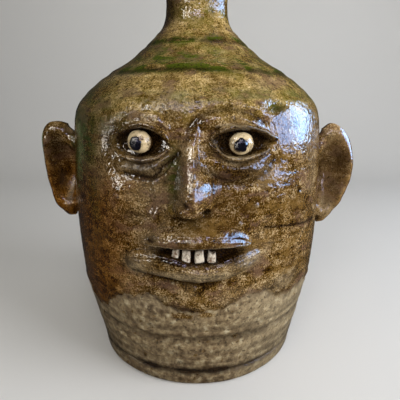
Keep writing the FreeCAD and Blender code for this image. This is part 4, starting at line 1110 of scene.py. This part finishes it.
sweep = bmesh.new()
bmesh.ops.create_grid(sweep, x_segments=4, y_segments=64, size=1.0)
for vert in sweep.verts:
    run = (vert.co.y + 1) * 1.6 - 1.5
    bend = min(max((run - FLOOR_END) / SWEEP_RADIUS, 0.0), math.pi / 2)
    past = max(run - FLOOR_END - SWEEP_RADIUS * math.pi / 2, 0.0)
    vert.co = Vector((vert.co.x * SWEEP_WIDTH,
                      min(run, FLOOR_END) + SWEEP_RADIUS * math.sin(bend),
                      SWEEP_RADIUS * (1 - math.cos(bend)) + past))
for face in sweep.faces:
    face.smooth = True
sheet = bpy.data.meshes.new("pale_sweep")
sweep.to_mesh(sheet)
sweep.free()
backdrop = bpy.data.objects.new("pale_sweep", sheet)
bpy.context.scene.collection.objects.link(backdrop)
paper = bpy.data.materials.new("matt_paper")
paper.use_nodes = True
surface = paper.node_tree.nodes["Principled BSDF"].inputs
surface["Base Color"].default_value = colour("#dcd9d2")
surface["Roughness"].default_value = 0.9
sheet.materials.append(paper)
backdrop.visible_glossy = False
print("floor and backdrop:", backdrop.name)

# %% [markdown]
# A glossy pot shows its surroundings, so light does two jobs here. Three soft lamps light
# the clay and aren't seen in the glaze. Seven panes only shine in the glaze. They stand
# where the photograph's reflections say that its windows were. A broad window in two parts
# on the right gives the blue-white shine on the temple and the neck. A slit, a window, a
# lamp and a door give the small sparkles. The last one, low behind on the left, is the
# greenish wall that the jug's left edge mirrors.

# %% Lights
LAMPS = [  # name, place, target, width, height, watts, tint
    ("right_light", (0.9, -0.45, 0.5), (0, 0, 0.12), 0.7, 0.7, 12.5, "#f2f6ff"),
    ("front_light", (-0.1, -1.0, 0.85), (0, 0, 0.12), 0.9, 0.6, 7.6, "#ffffff"),
    ("top_light", (0.1, -0.2, 1.3), (0, 0, 0.15), 0.9, 0.9, 3.6, "#ffffff"),
]
PANES = [
    ("right_pane_front", (0.964, -0.295, 0.40), (0.05, -0.05, 0.28), 0.42, 0.50, 12.0,
     "#a9c4f8"),
    ("right_pane_back", (0.961, 0.20, 0.40), (0.05, -0.05, 0.28), 0.456, 0.50, 14.0, "#a2ccff"),
    ("right_slit", (0.70, -0.64, 0.60), (0.0, -0.05, 0.19), 0.30, 0.12, 1.6, "#c6d2f2"),
    ("left_window", (-0.51, -0.60, 0.83), (0.0, -0.09, 0.14), 0.15, 0.42, 6.0, "#fff8ee"),
    ("left_back", (-0.73, 0.60, 0.10), (-0.08, 0.0, 0.12), 0.12, 0.20, 0.14, "#7fa468"),
    ("left_door", (-0.896, -0.567, 0.234), (-0.04, -0.073, 0.13), 0.18, 0.15, 3.6, "#fff8ee"),
    ("ceiling_lamp", (-0.012, -0.693, 0.778), (0.02, -0.08, 0.12), 0.24, 0.18, 2.8, "#dcd4f8"),
]


def window(name, place, target, width, height, watts, tint):
    lamp = bpy.data.lights.new(name, "AREA")
    lamp.shape = "RECTANGLE"
    lamp.size, lamp.size_y = width, height
    lamp.energy = watts
    lamp.color = colour(tint)[:3]
    holder = bpy.data.objects.new(name, lamp)
    bpy.context.scene.collection.objects.link(holder)
    holder.location = place
    holder.rotation_euler = (Vector(target) - Vector(place)).to_track_quat("-Z", "Y").to_euler()
    return holder


for lamp in LAMPS:
    window(*lamp).visible_glossy = False
for pane in PANES:
    window(*pane).visible_diffuse = False
world = bpy.data.worlds.new("soft_room")
world.use_nodes = True
air = world.node_tree.nodes["Background"].inputs
air["Color"].default_value = colour("#d9dde0")
air["Strength"].default_value = 0.04
bpy.context.scene.world = world
print("lamps:", len(LAMPS), "and panes:", len(PANES))

# %% [markdown]
# The camera stands close in front and looks down a little. Its tilt and its focal length,
# 352 of the picture's 400 pixels, come from the edges of the pedestal in the photograph.

# %% Camera
FOCAL_PIXELS, PICTURE_PIXELS, TILT_DOWN = 352, 400, 14.8
camera = bpy.data.cameras.new("camera")
camera.sensor_width = 36.0
camera.lens = camera.sensor_width * FOCAL_PIXELS / PICTURE_PIXELS
camera.clip_start = 0.01
eye = bpy.data.objects.new("camera", camera)
bpy.context.scene.collection.objects.link(eye)
eye.location = (0.0020, -0.2512, 0.1662)
eye.rotation_euler = (math.radians(90 - TILT_DOWN), 0, 0)
bpy.context.scene.camera = eye
bpy.context.scene.view_settings.view_transform = "Standard"
print("focal length, mm:", round(camera.lens, 2))
